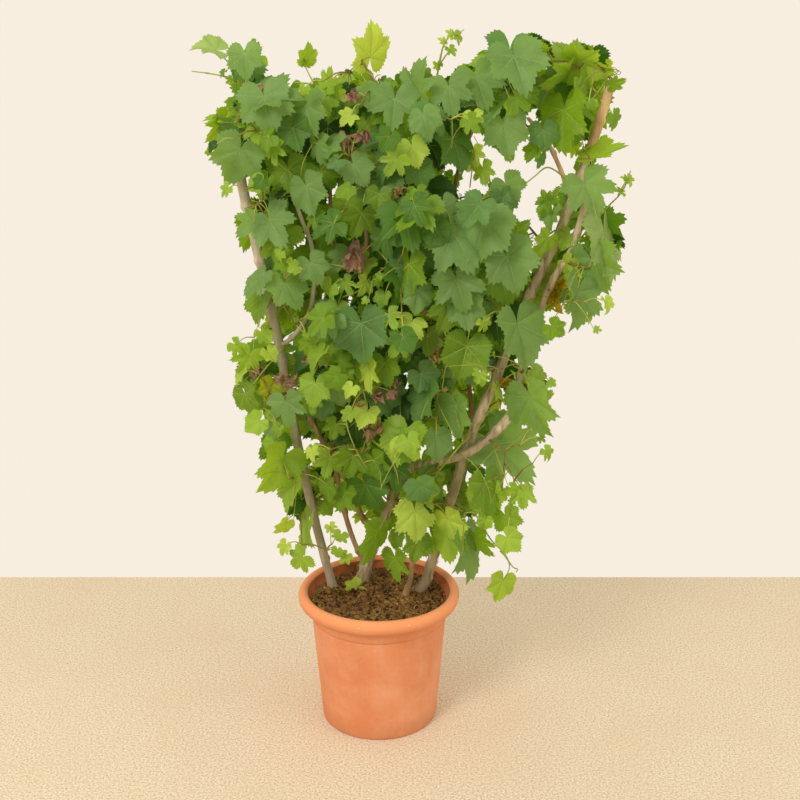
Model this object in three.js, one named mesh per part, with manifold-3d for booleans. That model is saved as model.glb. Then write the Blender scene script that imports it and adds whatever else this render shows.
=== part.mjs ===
// A potted grapevine: a pot with a rolled rim, its soil, the old stems with their arms and canes,
// and the foliage as separate masses of leafy twigs that grow from them.
// Millimetres, +Z up, origin at the centre of the pot's flat underside. The broad side faces -Y.
import * as THREE from "three";
import { mergeVertices } from "three/addons/utils/BufferGeometryUtils.js";
import Module from "manifold-3d";

const wasm = await Module();
wasm.setup();

const GAP = 0.3; // between neighbours that touch on the real plant

// The pot
const POT = {
  height: 310,
  baseRadius: 130.5,
  foot: 3,
  grooveHeight: 245,
  grooveRadius: 150,
  grooveStep: 1.5,
  bodyTop: 277,
  bodyTopRadius: 156,
  rimMiddleRadius: 168.5,
  rimHalfWidth: 11.5,
  rimHalfHeight: 16,
  wall: 7,
  floor: 8,
  segments: 36,
};
const RIM_STEP = 50; // degrees between the points of the rim's roll
const SOIL_LEVEL = 285;
const POT_SPACE = { radius: 183, height: 313 }; // kept free of leaves and twigs

// How leaves hang: they face away from the crown's middle, out of its plane and up, each with
// a sway of its own to the side, up and down, and across and out at its tip.
const CROWN_X = 80;
const CROWN_Y = { middle: 20, spread: 60 };
const FACING = { spreadBy: 700, lift: 0.45, sway: 0.9 };
const HANGING = { spreadBy: 500, sway: 1.5, swing: 0.5 };
const REACHING_LIFT = 0.35;

const LEAF_SIZE = [76, 106]; // from the leaf's joint with its stalk to its tip
const PETIOLE = { shortest: 12, longest: 105, kept: 55, radius: 1.5 };
const TWIG_RADIUS = 2;
const STEM_RADII = [3.6, 2.2];
const CELL_MARGIN = 1.5; // a leaf keeps this far inside its mass's own space
const LIMB_MARGIN = 12; // a leaf's sample points keep this far off a limb's bark
const TWIG_MARGIN = 3;
const SAMPLE_RINGS = 3; // rings of sample points over a leaf

// A leaf's corners in shares of its size, after the joint with its stalk: across, along, and how
// far they bend back from its middle.
const LEAF_CORNERS = [
  [-0.44, -0.3, -0.1],
  [-0.64, 0.3, -0.14],
  [0, 1, -0.16],
  [0.64, 0.3, -0.14],
  [0.44, -0.3, -0.1],
];
const LEAF_MIDDLE = 0.28;
const LEAF_THICKNESS = 0.022; // at its middle

// Stems, arms and canes: centre lines at real size, from the root to the tip, and the radii at
// both. An arm or cane starts inside the limb that it forks from, and is cut clear of it. flare
// widens the foot of what grows from the soil.
const LIMBS = {
  trunk_left: {
    radii: [12.5, 9.5],
    flare: 1.35,
    sides: 8,
    line: [
      [-106, 42, SOIL_LEVEL],
      [-143, 42, 448],
      [-177, 38, 630],
      [-213, 30, 875],
      [-250, 20, 1072],
      [-275, 10, 1207],
      [-284, 6, 1280],
    ],
  },
  trunk_right: {
    radii: [13.5, 8],
    flare: 1.5,
    sides: 8,
    line: [
      [85, 17, SOIL_LEVEL],
      [106, 19, 320],
      [138, 24, 436],
      [159, 25, 504],
      [200, 25, 652],
      [248, 22, 775],
      [312, 20, 956],
      [358, 15, 1059],
      [393, 12, 1151],
      [424, 10, 1247],
      [445, 6, 1325],
      [455, 4, 1360],
      [464, 3, 1402],
    ],
  },
  trunk_centre: {
    radii: [14.5, 11],
    flare: 1.4,
    sides: 8,
    line: [
      [-43, 68, SOIL_LEVEL],
      [-20, 62, 365],
      [25, 55, 480],
      [51, 50, 548],
      [74, 45, 578],
    ],
  },
  stem_thin: {
    radii: [5.5, 4.5],
    flare: 1.8,
    sides: 6,
    line: [
      [58, -3, SOIL_LEVEL],
      [70, 0, 326],
      [76, 0, 401],
      [91, -4, 462],
    ],
  },
  arm_right: {
    radii: [10, 7.5],
    sides: 7,
    line: [
      [74, 45, 578],
      [135, 12, 603],
      [195, -12, 632],
      [247, -12, 674],
      [276, -10, 707],
      [292, -8, 742],
      [303, -8, 803],
      [331, -8, 918],
      [362, -10, 1004],
      [398, -10, 1070],
      [417, -8, 1138],
      [427, -6, 1172],
    ],
  },
  cane_left_low: {
    radii: [6.5, 4.5],
    sides: 6,
    line: [
      [-6, 60, 400],
      [-42, 52, 466],
      [-72, 45, 547],
      [-108, 38, 608],
      [-133, 30, 664],
      [-152, 18, 710],
      [-168, 6, 765],
    ],
  },
  cane_left_upper: {
    radii: [5.5, 4.2],
    sides: 6,
    line: [
      [-210, 31, 858],
      [-186, 14, 874],
      [-141, 2, 940],
      [-132, -4, 1064],
      [-152, -6, 1128],
      [-170, -8, 1180],
    ],
  },
  cane_mid_left: {
    radii: [6, 4.2],
    sides: 6,
    line: [
      [-29, 64, 330],
      [-56, 76, 380],
      [-85, 74, 486],
      [-98, 68, 585],
      [-106, 58, 728],
      [-95, 50, 952],
      [-97, 42, 1164],
      [-100, 32, 1285],
    ],
  },
  cane_centre: {
    radii: [6.5, 4.5],
    sides: 6,
    line: [
      [25, 55, 480],
      [14, 50, 636],
      [0, 42, 821],
      [-16, 36, 997],
      [-22, 28, 1150],
      [-10, 18, 1240],
      [35, 6, 1300],
      [62, 0, 1318],
    ],
  },
  cane_inner_right: {
    radii: [5.2, 4],
    sides: 6,
    line: [
      [206, 25, 668],
      [202, 46, 722],
      [194, 50, 789],
      [184, 50, 887],
      [166, 48, 1038],
      [158, 40, 1164],
      [172, 32, 1250],
      [196, 22, 1312],
    ],
  },
  cane_top_right: {
    radii: [5, 4],
    sides: 6,
    line: [
      [397, 12, 1164],
      [368, 6, 1234],
      [336, 2, 1290],
      [300, 0, 1330],
    ],
  },
};
const RINGS_PER_SPAN = 1.5; // tube rings for each span between two of a line's points
const LIMB_SAMPLES = 60; // points along a limb that leaves and twigs are measured from
const SAMPLES_PER_LINE = 4; // and how many of their steps a straight line along it spans
const FLARE_HEIGHT = 45;
const ROOT_SUNK = 0.3; // share of its first ring's step that a foot starts below the soil

// Rows of leaf masses, from the top down: the height of the row's centres, the first and last
// centre across, how many stand in front, and the leaves in each. One more stands behind each gap
// between them, lower by half the way to the next row. Those in front stand a little lower and
// higher in turn.
const ROWS = [
  { name: "crest", height: 1385, from: -250, to: 415, count: 4, leaves: 10 },
  { name: "upper", height: 1180, from: -225, to: 425, count: 4, leaves: 8 },
  { name: "middle", height: 980, from: -205, to: 430, count: 4, leaves: 8 },
  { name: "lower", height: 780, from: -225, to: 300, count: 4, leaves: 8 },
  { name: "foot", height: 590, from: -190, to: 270, count: 4, leaves: 8 },
];
const ROW_DROP = 98;
const STAGGER = 32;
const FRONT_Y = -45;
const BACK_Y = 45;
const MASS_HALF = [135, 125, 125]; // of the space that a mass's leaf joints are tried in
const LEAF_SPREAD = 46; // between the middles of a mass's leaves, seen from the front

// The crown's left and right edges, each as height and place across.
const LEFT_EDGE = [
  [330, -125],
  [437, -215],
  [484, -202],
  [577, -266],
  [634, -260],
  [685, -228],
  [701, -262],
  [756, -306],
  [853, -293],
  [879, -251],
  [975, -272],
  [1172, -276],
  [1197, -307],
  [1269, -327],
  [1336, -332],
  [1364, -272],
  [1439, -288],
  [1466, -353],
];
const RIGHT_EDGE = [
  [284, 300],
  [342, 298],
  [361, 223],
  [437, 291],
  [519, 311],
  [572, 330],
  [645, 334],
  [658, 359],
  [767, 374],
  [821, 335],
  [885, 351],
  [902, 431],
  [979, 468],
  [1031, 510],
  [1092, 515],
  [1148, 455],
  [1234, 451],
  [1288, 493],
  [1307, 463],
  [1420, 476],
  [1466, 431],
];

// Its top edge, as place across and height, and its lowest leaf tips.
const TOP_EDGE = [
  [-355, 1490],
  [-305, 1464],
  [-294, 1479],
  [-248, 1486],
  [-204, 1431],
  [-185, 1405],
  [-108, 1402],
  [-84, 1428],
  [-26, 1420],
  [-22, 1505],
  [28, 1505],
  [35, 1417],
  [93, 1457],
  [109, 1424],
  [147, 1420],
  [208, 1475],
  [277, 1497],
  [347, 1468],
  [412, 1466],
  [488, 1417],
];
const CROWN_BOTTOM = 385;
const CROWN_DEPTH = { front: -200, back: 196 };

// Ways through the crown where sky shows: middle across and up, and half-sizes.
const WINDOWS = [
  [338, 1205, 48, 88],
  [372, 905, 30, 60],
];

// The leaves that stand out furthest: each one's joint and tip.
const REACHING = [
  [-309, -22, 1452, -362, -28, 1474],
  [-302, -40, 1322, -336, -46, 1262],
  [-136, -40, 1420, -128, -44, 1474],
  [-8, -45, 1434, 2, -42, 1510],
  [120, -30, 1430, 132, -34, 1482],
  [398, 0, 1436, 476, -10, 1400],
  [438, -60, 1246, 446, -88, 1160],
  [448, -30, 1150, 500, -52, 1092],
  [444, -24, 1084, 512, -34, 1068],
  [428, -42, 1000, 436, -62, 905],
  [-250, -40, 822, -306, -56, 752],
  [318, -40, 770, 352, -60, 686],
  [272, -34, 336, 256, -44, 270],
  [216, -56, 400, 208, -72, 320],
];
const TRIES = 2400;
const SMALLEST_SHARE = 0.5; // how far leaves shrink as the tries run out
const SEED = 1000;
// Stretches of old wood, by height, with no leaf right in front of them
const SHOWING = { trunk_left: [300, 1190], trunk_right: [700, 1190], arm_right: [840, 1150] };
const SHOWING_MARGIN = 6;
const CORE_SHARE = 0.7; // only this much of a leaf mustn't hide them
const STEM_RADIUS_KEPT = 4; // what other masses' leaves keep clear of
const FOLD_LIMIT = 0.85; // cosine at which a leaf would lie back along its own stalk
const LINE_STEP = 8; // between the points of a twig that are tested
const STEM_SPANS = 5;
const TWIG_SPIN = 0.5;
const SIMPLIFY_BY = 0.15; // how far a mass's surface may move as slivers are merged
const STEM_LIFT = 25; // a stem ends this far over its mass's middle
const STEM_BOW = 26; // how far its middle bows out of the crown's plane
const ROOT_SPACING = 30; // between the roots of two stems
const STEM_CLEAR = 45; // and how far its end stays from any limb

const LOOKS = {
  clay: { color: 0xe0824a, roughness: 0.75, metalness: 0 },
  soil: { color: 0x5a4021, roughness: 1, metalness: 0 },
  bark: { color: 0x86735a, roughness: 0.9, metalness: 0 },
  cane: { color: 0x8f7048, roughness: 0.85, metalness: 0 },
  leaf: { color: 0x6f9440, roughness: 0.7, metalness: 0 },
};

// Park and Miller's generator: every product stays exact in a double.
function randomSource(seed) {
  let state = seed;
  return () => {
    state = (state * 16807) % 2147483647;
    return state / 2147483647;
  };
}

const STEEP = 0.9; // upward share past which a tube's first side is taken from the X axis
const vector = (point) => new THREE.Vector3(point[0], point[1], point[2]);
const mix = (a, b, share) => a + (b - a) * share;

function solidOf(geometry) {
  const bare = geometry.clone();
  bare.deleteAttribute("normal");
  bare.deleteAttribute("uv");
  const merged = mergeVertices(bare, 1e-4);
  return new wasm.Manifold(
    new wasm.Mesh({
      numProp: 3,
      vertProperties: new Float32Array(merged.attributes.position.array),
      triVerts: new Uint32Array(merged.index.array),
    }),
  );
}

function geometryOf(solid) {
  const mesh = solid.getMesh();
  const places = new Float32Array(mesh.numVert * 3);
  for (let i = 0; i < mesh.numVert; i++) {
    places.set(mesh.vertProperties.subarray(i * mesh.numProp, i * mesh.numProp + 3), i * 3);
  }
  const geometry = new THREE.BufferGeometry();
  geometry.setAttribute("position", new THREE.BufferAttribute(places, 3));
  geometry.setIndex(new THREE.BufferAttribute(mesh.triVerts, 1));
  geometry.computeVertexNormals();
  return geometry;
}

// The largest piece of a cut solid, with any scrap and any sealed hollow left out.
function largestPiece(solid) {
  return solid.decompose().reduce((best, piece) => (piece.volume() > best.volume() ? piece : best));
}

// A closed tube through points, with a radius at each and its first ring turned by spin.
function tube(points, radii, sides, spin = 0) {
  const places = [];
  const faces = [];
  const side = new THREE.Vector3();
  points.forEach((point, i) => {
    const before = points[Math.max(i - 1, 0)];
    const after = points[Math.min(i + 1, points.length - 1)];
    const along = after.clone().sub(before).normalize();
    if (i === 0) {
      const steep = Math.abs(along.z) > STEEP;
      side.crossVectors(new THREE.Vector3(steep ? 1 : 0, 0, steep ? 0 : 1), along).normalize();
    } else {
      side.addScaledVector(along, -side.dot(along)).normalize();
    }
    const up = new THREE.Vector3().crossVectors(along, side);
    for (let k = 0; k < sides; k++) {
      const turn = spin + (2 * Math.PI * k) / sides;
      places.push(
        point
          .clone()
          .addScaledVector(side, radii[i] * Math.cos(turn))
          .addScaledVector(up, radii[i] * Math.sin(turn)),
      );
    }
  });
  for (let i = 0; i + 1 < points.length; i++) {
    for (let k = 0; k < sides; k++) {
      const next = (k + 1) % sides;
      const [a, b] = [i * sides + k, i * sides + next];
      faces.push(a, b, b + sides, a, b + sides, a + sides);
    }
  }
  const last = (points.length - 1) * sides;
  for (let k = 1; k + 1 < sides; k++) {
    faces.push(0, k + 1, k, last, last + k, last + k + 1);
  }
  const geometry = new THREE.BufferGeometry().setFromPoints(places);
  geometry.setIndex(faces);
  return solidOf(geometry);
}

function limbCurve(limb) {
  return new THREE.CatmullRomCurve3(limb.line.map(vector), false, "centripetal");
}

function limbPath(limb) {
  return limbCurve(limb).getPoints(Math.round((limb.line.length - 1) * RINGS_PER_SPAN));
}

function limbRadius(limb, share, height) {
  const radius = mix(limb.radii[0], limb.radii[1], share);
  const above = Math.max(0, 1 - (height - SOIL_LEVEL) / FLARE_HEIGHT);
  return limb.flare ? radius * mix(1, limb.flare, above * above) : radius;
}

function limbSolid(limb, extra) {
  const points = limbPath(limb);
  const radii = points.map((point, i) => limbRadius(limb, i / (points.length - 1), point.z) + extra);
  const [first, second] = points;
  const [tip, inner] = [points[points.length - 1], points[points.length - 2]];
  if (limb.flare) {
    points[0] = first.clone().addScaledVector(second.clone().sub(first), -ROOT_SUNK);
  }
  if (extra > 0) {
    points[points.length - 1] = tip.clone().addScaledVector(tip.clone().sub(inner).normalize(), extra);
  }
  const solid = tube(points, radii, limb.sides);
  return limb.flare ? solid.trimByPlane([0, 0, 1], SOIL_LEVEL + GAP - extra) : solid;
}

// Each limb's solid, cut clear of those before it, and its shape with the gap round it.
function makeLimbs() {
  const made = {};
  for (const [name, limb] of Object.entries(LIMBS)) {
    let solid = limbSolid(limb, 0);
    for (const other of Object.values(made)) {
      solid = solid.subtract(other.keepOut);
    }
    const keepOut = limbSolid(limb, GAP / Math.cos(Math.PI / limb.sides));
    made[name] = { solid: largestPiece(solid), keepOut };
  }
  return made;
}

// Points along a limb's centre line, each with the limb's radius there.
function limbSamples(limb) {
  return limbCurve(limb)
    .getPoints(LIMB_SAMPLES)
    .map((point, i) => ({ point, radius: limbRadius(limb, i / LIMB_SAMPLES, point.z) }));
}

// The pot's outline from the middle of its underside, up the outside and down the inside.
function potProfile() {
  const p = POT;
  const rimHeight = p.height - p.rimHalfHeight;
  const points = [
    [0, 0],
    [p.baseRadius - p.foot, 0],
    [p.baseRadius, p.foot],
    [p.grooveRadius, p.grooveHeight],
    [p.grooveRadius + p.grooveStep, p.grooveHeight + 1],
    [p.bodyTopRadius, p.bodyTop],
  ];
  for (let degrees = -120; degrees <= 180; degrees += RIM_STEP) {
    const turn = THREE.MathUtils.degToRad(degrees);
    points.push([
      p.rimMiddleRadius + p.rimHalfWidth * Math.cos(turn),
      rimHeight + p.rimHalfHeight * Math.sin(turn),
    ]);
  }
  points.push([innerRadius(p.bodyTop), p.bodyTop], [innerRadius(p.floor), p.floor], [0, p.floor]);
  return points.map(([radius, height]) => new THREE.Vector2(radius, height));
}

// The inside of the pot: straight from its floor to the top of its body, then out to the rim.
function innerRadius(height) {
  const top = POT.bodyTopRadius - POT.wall;
  if (height <= POT.bodyTop) {
    return mix(POT.baseRadius - POT.wall, top, height / POT.bodyTop);
  }
  const rimHeight = POT.height - POT.rimHalfHeight;
  const share = (height - POT.bodyTop) / (rimHeight - POT.bodyTop);
  return mix(top, POT.rimMiddleRadius - POT.rimHalfWidth, share);
}

function makePot() {
  return new THREE.LatheGeometry(potProfile(), POT.segments).rotateX(Math.PI / 2);
}

function makeSoil() {
  const bottom = POT.floor + GAP;
  const clear = GAP / Math.cos(Math.PI / POT.segments);
  const profile = [
    [0, bottom],
    [innerRadius(bottom) - clear, bottom],
    [innerRadius(POT.bodyTop) - clear, POT.bodyTop],
    [innerRadius(SOIL_LEVEL) - clear, SOIL_LEVEL],
    [0, SOIL_LEVEL],
  ];
  const points = profile.map(([radius, height]) => new THREE.Vector2(radius, height));
  return new THREE.LatheGeometry(points, POT.segments).rotateX(Math.PI / 2);
}

// A stalk's section, in radii: its left, right and top corners.
const RING = [
  [-1, -0.5],
  [1, -0.5],
  [0, 1],
];

// Where a leaf's outline and middle lie, from its joint, the way to its tip and the way it faces.
function leafCorners(leaf) {
  const across = new THREE.Vector3().crossVectors(leaf.along, leaf.facing);
  const place = (x, y, z) =>
    leaf.joint
      .clone()
      .addScaledVector(across, x * leaf.size)
      .addScaledVector(leaf.along, y * leaf.size)
      .addScaledVector(leaf.facing, z * leaf.size);
  return {
    outline: [leaf.joint.clone(), ...LEAF_CORNERS.map(([x, y, z]) => place(x, y, z))],
    middle: place(0, LEAF_MIDDLE, 0),
    front: place(0, LEAF_MIDDLE, LEAF_THICKNESS / 2),
    back: place(0, LEAF_MIDDLE, -LEAF_THICKNESS / 2),
  };
}

// A leaf and its three-sided stalk as one closed mesh, with the stalk's root sunk in its twig.
function leafSolid(leaf, root) {
  const { outline, front, back } = leafCorners(leaf);
  const across = new THREE.Vector3().crossVectors(leaf.along, leaf.facing);
  const along = leaf.joint.clone().sub(root).normalize();
  const side = across.clone().addScaledVector(along, -across.dot(along)).normalize();
  const up = new THREE.Vector3().crossVectors(side, along);
  const ring = (centre) =>
    RING.map(([x, y]) =>
      centre
        .clone()
        .addScaledVector(side, x * PETIOLE.radius)
        .addScaledVector(up, y * PETIOLE.radius),
    );
  const corners = outline.slice(1);
  const places = [...ring(leaf.joint), ...ring(root), ...corners, front, back];
  const [left, right, top] = [0, 1, 2];
  const first = 2 * RING.length;
  const last = first + corners.length - 1;
  const [f, b] = [last + 1, last + 2];
  const faces = [f, first, left, f, left, top, f, top, right, f, right, last];
  faces.push(b, left, first, b, right, left, b, last, right);
  for (let i = first; i < last; i++) {
    faces.push(f, i + 1, i, b, i, i + 1);
  }
  for (const [m, n] of [[top, left], [right, top], [left, right]]) {
    faces.push(m, n, n + RING.length, m, n + RING.length, m + RING.length);
  }
  faces.push(left + RING.length, right + RING.length, top + RING.length);
  const geometry = new THREE.BufferGeometry().setFromPoints(places);
  geometry.setIndex(faces);
  return solidOf(geometry);
}

// Points spread over a leaf.
function leafSamples(leaf) {
  const { outline, middle } = leafCorners(leaf);
  const samples = [middle];
  outline.forEach((corner, i) => {
    const next = outline[(i + 1) % outline.length];
    for (let ring = 1; ring <= SAMPLE_RINGS; ring++) {
      for (let k = 0; k < ring; k++) {
        const edge = corner.clone().lerp(next, k / ring);
        samples.push(middle.clone().lerp(edge, ring / SAMPLE_RINGS));
      }
    }
  });
  return samples;
}

// The triangles round a leaf's middle, and the straight lines along its rim and its ribs.
function leafFan(leaf) {
  const { outline, middle } = leafCorners(leaf);
  return outline.map((corner, i) => [middle, corner, outline[(i + 1) % outline.length]]);
}

function leafLines(leaf) {
  return leafFan(leaf).flatMap(([middle, corner, next]) => [
    [middle, corner],
    [corner, next],
  ]);
}

function lineCrosses([start, end], [a, b, c]) {
  const direction = end.clone().sub(start);
  const length = direction.length();
  const ray = new THREE.Ray(start, direction.divideScalar(length));
  const hit = ray.intersectTriangle(a, b, c, false, new THREE.Vector3());
  return hit !== null && hit.distanceTo(start) < length;
}

function anyCross(lines, triangles) {
  return lines.some((line) => triangles.some((triangle) => lineCrosses(line, triangle)));
}

// What a mass's leaves and twigs keep clear of: the limbs and the other masses' stems.
function woodAround(byLimb, stems) {
  const rows = Object.values(byLimb);
  const stemRows = stems.map((stem) => stem.map((point) => ({ point, radius: STEM_RADIUS_KEPT })));
  const thinned = rows.map((row) => row.filter((_, i) => i % SAMPLES_PER_LINE === 0));
  return {
    samples: [...rows, ...stemRows].flat(),
    lines: [...thinned, ...stemRows].flatMap((row) => spansOf(row.map((sample) => sample.point))),
    showing: Object.entries(SHOWING).flatMap(([name, [low, high]]) =>
      byLimb[name].filter(({ point }) => point.z > low && point.z < high),
    ),
  };
}

// How far a point lies from the bark of the nearest limb.
function limbClearance(point, wood) {
  return wood.samples.reduce(
    (least, sample) => Math.min(least, point.distanceTo(sample.point) - sample.radius),
    Infinity,
  );
}

function insidePotSpace(point) {
  return point.z < POT_SPACE.height && Math.hypot(point.x, point.y) < POT_SPACE.radius;
}

// Where one of the crown's edges lies at a height, or for the top edge at a place across.
function edgeAt(edge, at) {
  const next = edge.findIndex(([level]) => level > at);
  if (next === -1) return edge[edge.length - 1][1];
  if (next === 0) return edge[0][1];
  const [[lowLevel, low], [highLevel, high]] = [edge[next - 1], edge[next]];
  return mix(low, high, (at - lowLevel) / (highLevel - lowLevel));
}

function insideCrown(point) {
  if (point.z > edgeAt(TOP_EDGE, point.x) || point.z < CROWN_BOTTOM) return false;
  if (point.y < CROWN_DEPTH.front || point.y > CROWN_DEPTH.back) return false;
  if (point.x < edgeAt(LEFT_EDGE, point.z) || point.x > edgeAt(RIGHT_EDGE, point.z)) return false;
  return WINDOWS.every(
    ([x, z, halfX, halfZ]) => ((point.x - x) / halfX) ** 2 + ((point.z - z) / halfZ) ** 2 > 1,
  );
}

// True where a leaf would hide an old stem from the front.
function hidesStem(point, wood) {
  return wood.showing.some(
    ({ point: centre, radius }) =>
      point.y < centre.y &&
      Math.hypot(point.x - centre.x, point.z - centre.z) < radius + SHOWING_MARGIN,
  );
}

// True if a point is nearer to this mass's centre than to any other's, by a margin.
function ownsPoint(mass, point) {
  return mass.walls.every(
    ({ middle, towards }) => point.clone().sub(middle).dot(towards) < -CELL_MARGIN,
  );
}

// A leaf at a joint: it faces out of the crown and up, and its tip hangs down and outwards.
function hangingLeaf(joint, size, next) {
  const some = (range) => range * (next() - 0.5);
  const side = joint.y < CROWN_Y.middle + some(CROWN_Y.spread) ? -1 : 1;
  const facing = new THREE.Vector3(
    (joint.x - CROWN_X) / FACING.spreadBy + some(FACING.sway),
    side,
    FACING.lift + some(FACING.sway),
  ).normalize();
  const along = new THREE.Vector3(
    (joint.x - CROWN_X) / HANGING.spreadBy + some(HANGING.sway),
    some(HANGING.swing),
    -1,
  );
  along.addScaledVector(facing, -along.dot(facing)).normalize();
  return { joint, along, facing, size };
}

// A leaf given by its joint and tip, facing the viewer's side and up.
function reachingLeaf(row) {
  const joint = new THREE.Vector3(row[0], row[1], row[2]);
  const along = new THREE.Vector3(row[3], row[4], row[5]).sub(joint);
  const size = along.length();
  along.normalize();
  const facing = new THREE.Vector3(0, -1, REACHING_LIFT);
  facing.addScaledVector(along, -facing.dot(along)).normalize();
  return { joint, along, facing, size };
}

function leafFits(mass, leaf, wood, reaching) {
  const { outline, middle } = leafCorners(leaf);
  if (!outline.every((corner) => ownsPoint(mass, corner))) return false;
  if (!reaching && !(insideCrown(middle) && outline.every(insideCrown))) return false;
  if (anyCross(wood.lines, leafFan(leaf))) return false;
  const core = outline.map((corner) => middle.clone().lerp(corner, CORE_SHARE));
  if ([middle, ...core].some((point) => hidesStem(point, wood))) return false;
  return leafSamples(leaf).every(
    (point) => !insidePotSpace(point) && limbClearance(point, wood) > LIMB_MARGIN,
  );
}

function lineFits(mass, [start, end], wood) {
  const steps = Math.max(2, Math.ceil(start.distanceTo(end) / LINE_STEP));
  for (let i = 0; i <= steps; i++) {
    const point = start.clone().lerp(end, i / steps);
    if (insidePotSpace(point) || !ownsPoint(mass, point)) return false;
    if (limbClearance(point, wood) < TWIG_MARGIN) return false;
  }
  return true;
}

const nearest = (points, goal) =>
  points.reduce((best, point) => (point.distanceTo(goal) < best.distanceTo(goal) ? point : best));

const spansOf = (points) => points.slice(1).map((point, i) => [points[i], point]);

// The masses of all rows: each one's centre and the walls between its space and its neighbours'.
function layOutMasses() {
  const masses = [];
  for (const { name, height, from, to, count, leaves } of ROWS) {
    const step = (to - from) / (count - 1);
    for (let i = 0; i < count; i++) {
      const lift = i % 2 ? STAGGER : -STAGGER;
      const centre = new THREE.Vector3(from + i * step, FRONT_Y, height + lift);
      masses.push({ name: `leaves_${name}_front_${i + 1}`, centre, leaves });
    }
    for (let i = 0; i + 1 < count; i++) {
      const centre = new THREE.Vector3(from + (i + 0.5) * step, BACK_Y, height - ROW_DROP);
      masses.push({ name: `leaves_${name}_back_${i + 1}`, centre, leaves });
    }
  }
  for (const mass of masses) {
    mass.walls = masses
      .filter((other) => other !== mass)
      .map((other) => ({
        middle: mass.centre.clone().lerp(other.centre, 0.5),
        towards: other.centre.clone().sub(mass.centre).normalize(),
      }));
  }
  return masses;
}

// Gives a mass its main stem, from the nearest free point of any limb to a little over its middle.
function addStem(mass, byLimb, taken) {
  let best = Infinity;
  for (const [limb, row] of Object.entries(byLimb)) {
    const free = row
      .map((sample) => sample.point)
      .filter((point) => taken.every((root) => root.distanceTo(point) > ROOT_SPACING));
    const root = nearest(free, mass.centre);
    if (root.distanceTo(mass.centre) < best) {
      best = root.distanceTo(mass.centre);
      mass.limb = limb;
      mass.root = root;
    }
  }
  taken.push(mass.root);
  const end = mass.centre.clone().add(new THREE.Vector3(0, 0, STEM_LIFT));
  const points = Object.values(byLimb).flatMap((row) => row.map((sample) => sample.point));
  const away = end.clone().sub(nearest(points, end));
  const short = Math.max(0, STEM_CLEAR - away.length());
  end.addScaledVector(away.normalize(), short);
  const middle = mass.root.clone().lerp(end, 0.5);
  middle.y += Math.sign(mass.centre.y) * STEM_BOW;
  mass.stem = new THREE.QuadraticBezierCurve3(mass.root, middle, end).getPoints(STEM_SPANS);
}

// The nearest point to a goal on any of some lines.
function nearestOnLines(lines, goal) {
  const points = lines.map(([start, end]) =>
    new THREE.Line3(start, end).closestPointToPoint(goal, true, new THREE.Vector3()),
  );
  return nearest(points, goal);
}

// Joins a leaf to the nearest point of the twigs by its stalk, or by a new twig where that is
// far, unless something is in the way.
function attachLeaf(mass, grown, leaf, wood) {
  const knot = nearestOnLines(grown.twigs, leaf.joint);
  const distance = knot.distanceTo(leaf.joint);
  const fan = leafFan(leaf);
  const stalk = leaf.joint.clone().sub(knot).normalize();
  const clear =
    distance > PETIOLE.shortest &&
    stalk.dot(leaf.along) > -FOLD_LIMIT &&
    lineFits(mass, [knot, leaf.joint], wood) &&
    !anyCross([[knot, leaf.joint], ...leafLines(leaf)], grown.fans) &&
    !anyCross(grown.lines, fan);
  if (!clear) return;
  let root = knot;
  if (distance > PETIOLE.longest) {
    root = leaf.joint.clone().lerp(knot, PETIOLE.kept / distance);
    grown.twigs.push([knot, root]);
  }
  grown.leaves.push({ leaf, root });
  grown.lines.push([knot, leaf.joint], ...leafLines(leaf));
  grown.fans.push(...fan);
}

// A leaf of random size at a random joint in a mass's space.
function randomLeaf(mass, next, share) {
  const [x, y, z] = MASS_HALF.map((half) => half * (2 * next() - 1));
  const size = share * mix(LEAF_SIZE[0], LEAF_SIZE[1], next());
  return hangingLeaf(mass.centre.clone().add(new THREE.Vector3(x, y, z)), size, next);
}

// How far apart two leaves' middles look from the front.
function seenApart(one, other) {
  const gap = leafCorners(one).middle.sub(leafCorners(other).middle);
  return Math.hypot(gap.x, gap.z);
}

// Grows one mass by its seed: the leaves that reach furthest, then others at random joints in its
// space, each joined to the stem by twigs.
function growMass(mass, seed, wood) {
  const next = randomSource(seed);
  const stem = spansOf(mass.stem);
  const grown = { twigs: stem.slice(1), leaves: [], lines: stem, fans: [] };
  for (const row of REACHING) {
    const leaf = reachingLeaf(row);
    if (leafFits(mass, leaf, wood, true)) attachLeaf(mass, grown, leaf, wood);
  }
  for (let i = 0; i < TRIES && grown.leaves.length < mass.leaves; i++) {
    const share = mix(1, SMALLEST_SHARE, i / TRIES);
    const leaf = randomLeaf(mass, next, share);
    const crowded = grown.leaves.some(
      (other) => seenApart(other.leaf, leaf) < LEAF_SPREAD * share,
    );
    if (!crowded && leafFits(mass, leaf, wood, false)) attachLeaf(mass, grown, leaf, wood);
  }
  return grown;
}

// Joins a mass's stem, twigs, stalks and leaves into one solid, cut clear of its limb.
function massSolid(mass, grown, limb) {
  const radii = mass.stem.map((_, i) => mix(STEM_RADII[0], STEM_RADII[1], i / STEM_SPANS));
  const pieces = [tube(mass.stem, radii, 3)];
  for (const [start, end] of grown.twigs.slice(STEM_SPANS - 1)) {
    const past = end.clone().addScaledVector(end.clone().sub(start).normalize(), TWIG_RADIUS);
    pieces.push(tube([start, past], [TWIG_RADIUS, TWIG_RADIUS], 3, TWIG_SPIN));
  }
  for (const { leaf, root } of grown.leaves) {
    pieces.push(leafSolid(leaf, root));
  }
  const solid = wasm.Manifold.union(pieces).subtract(limb.keepOut);
  return largestPiece(solid.asOriginal().simplify(SIMPLIFY_BY));
}

function mesh(name, geometry, look) {
  const made = new THREE.Mesh(geometry, new THREE.MeshStandardMaterial(look));
  made.name = name;
  return made;
}

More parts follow.
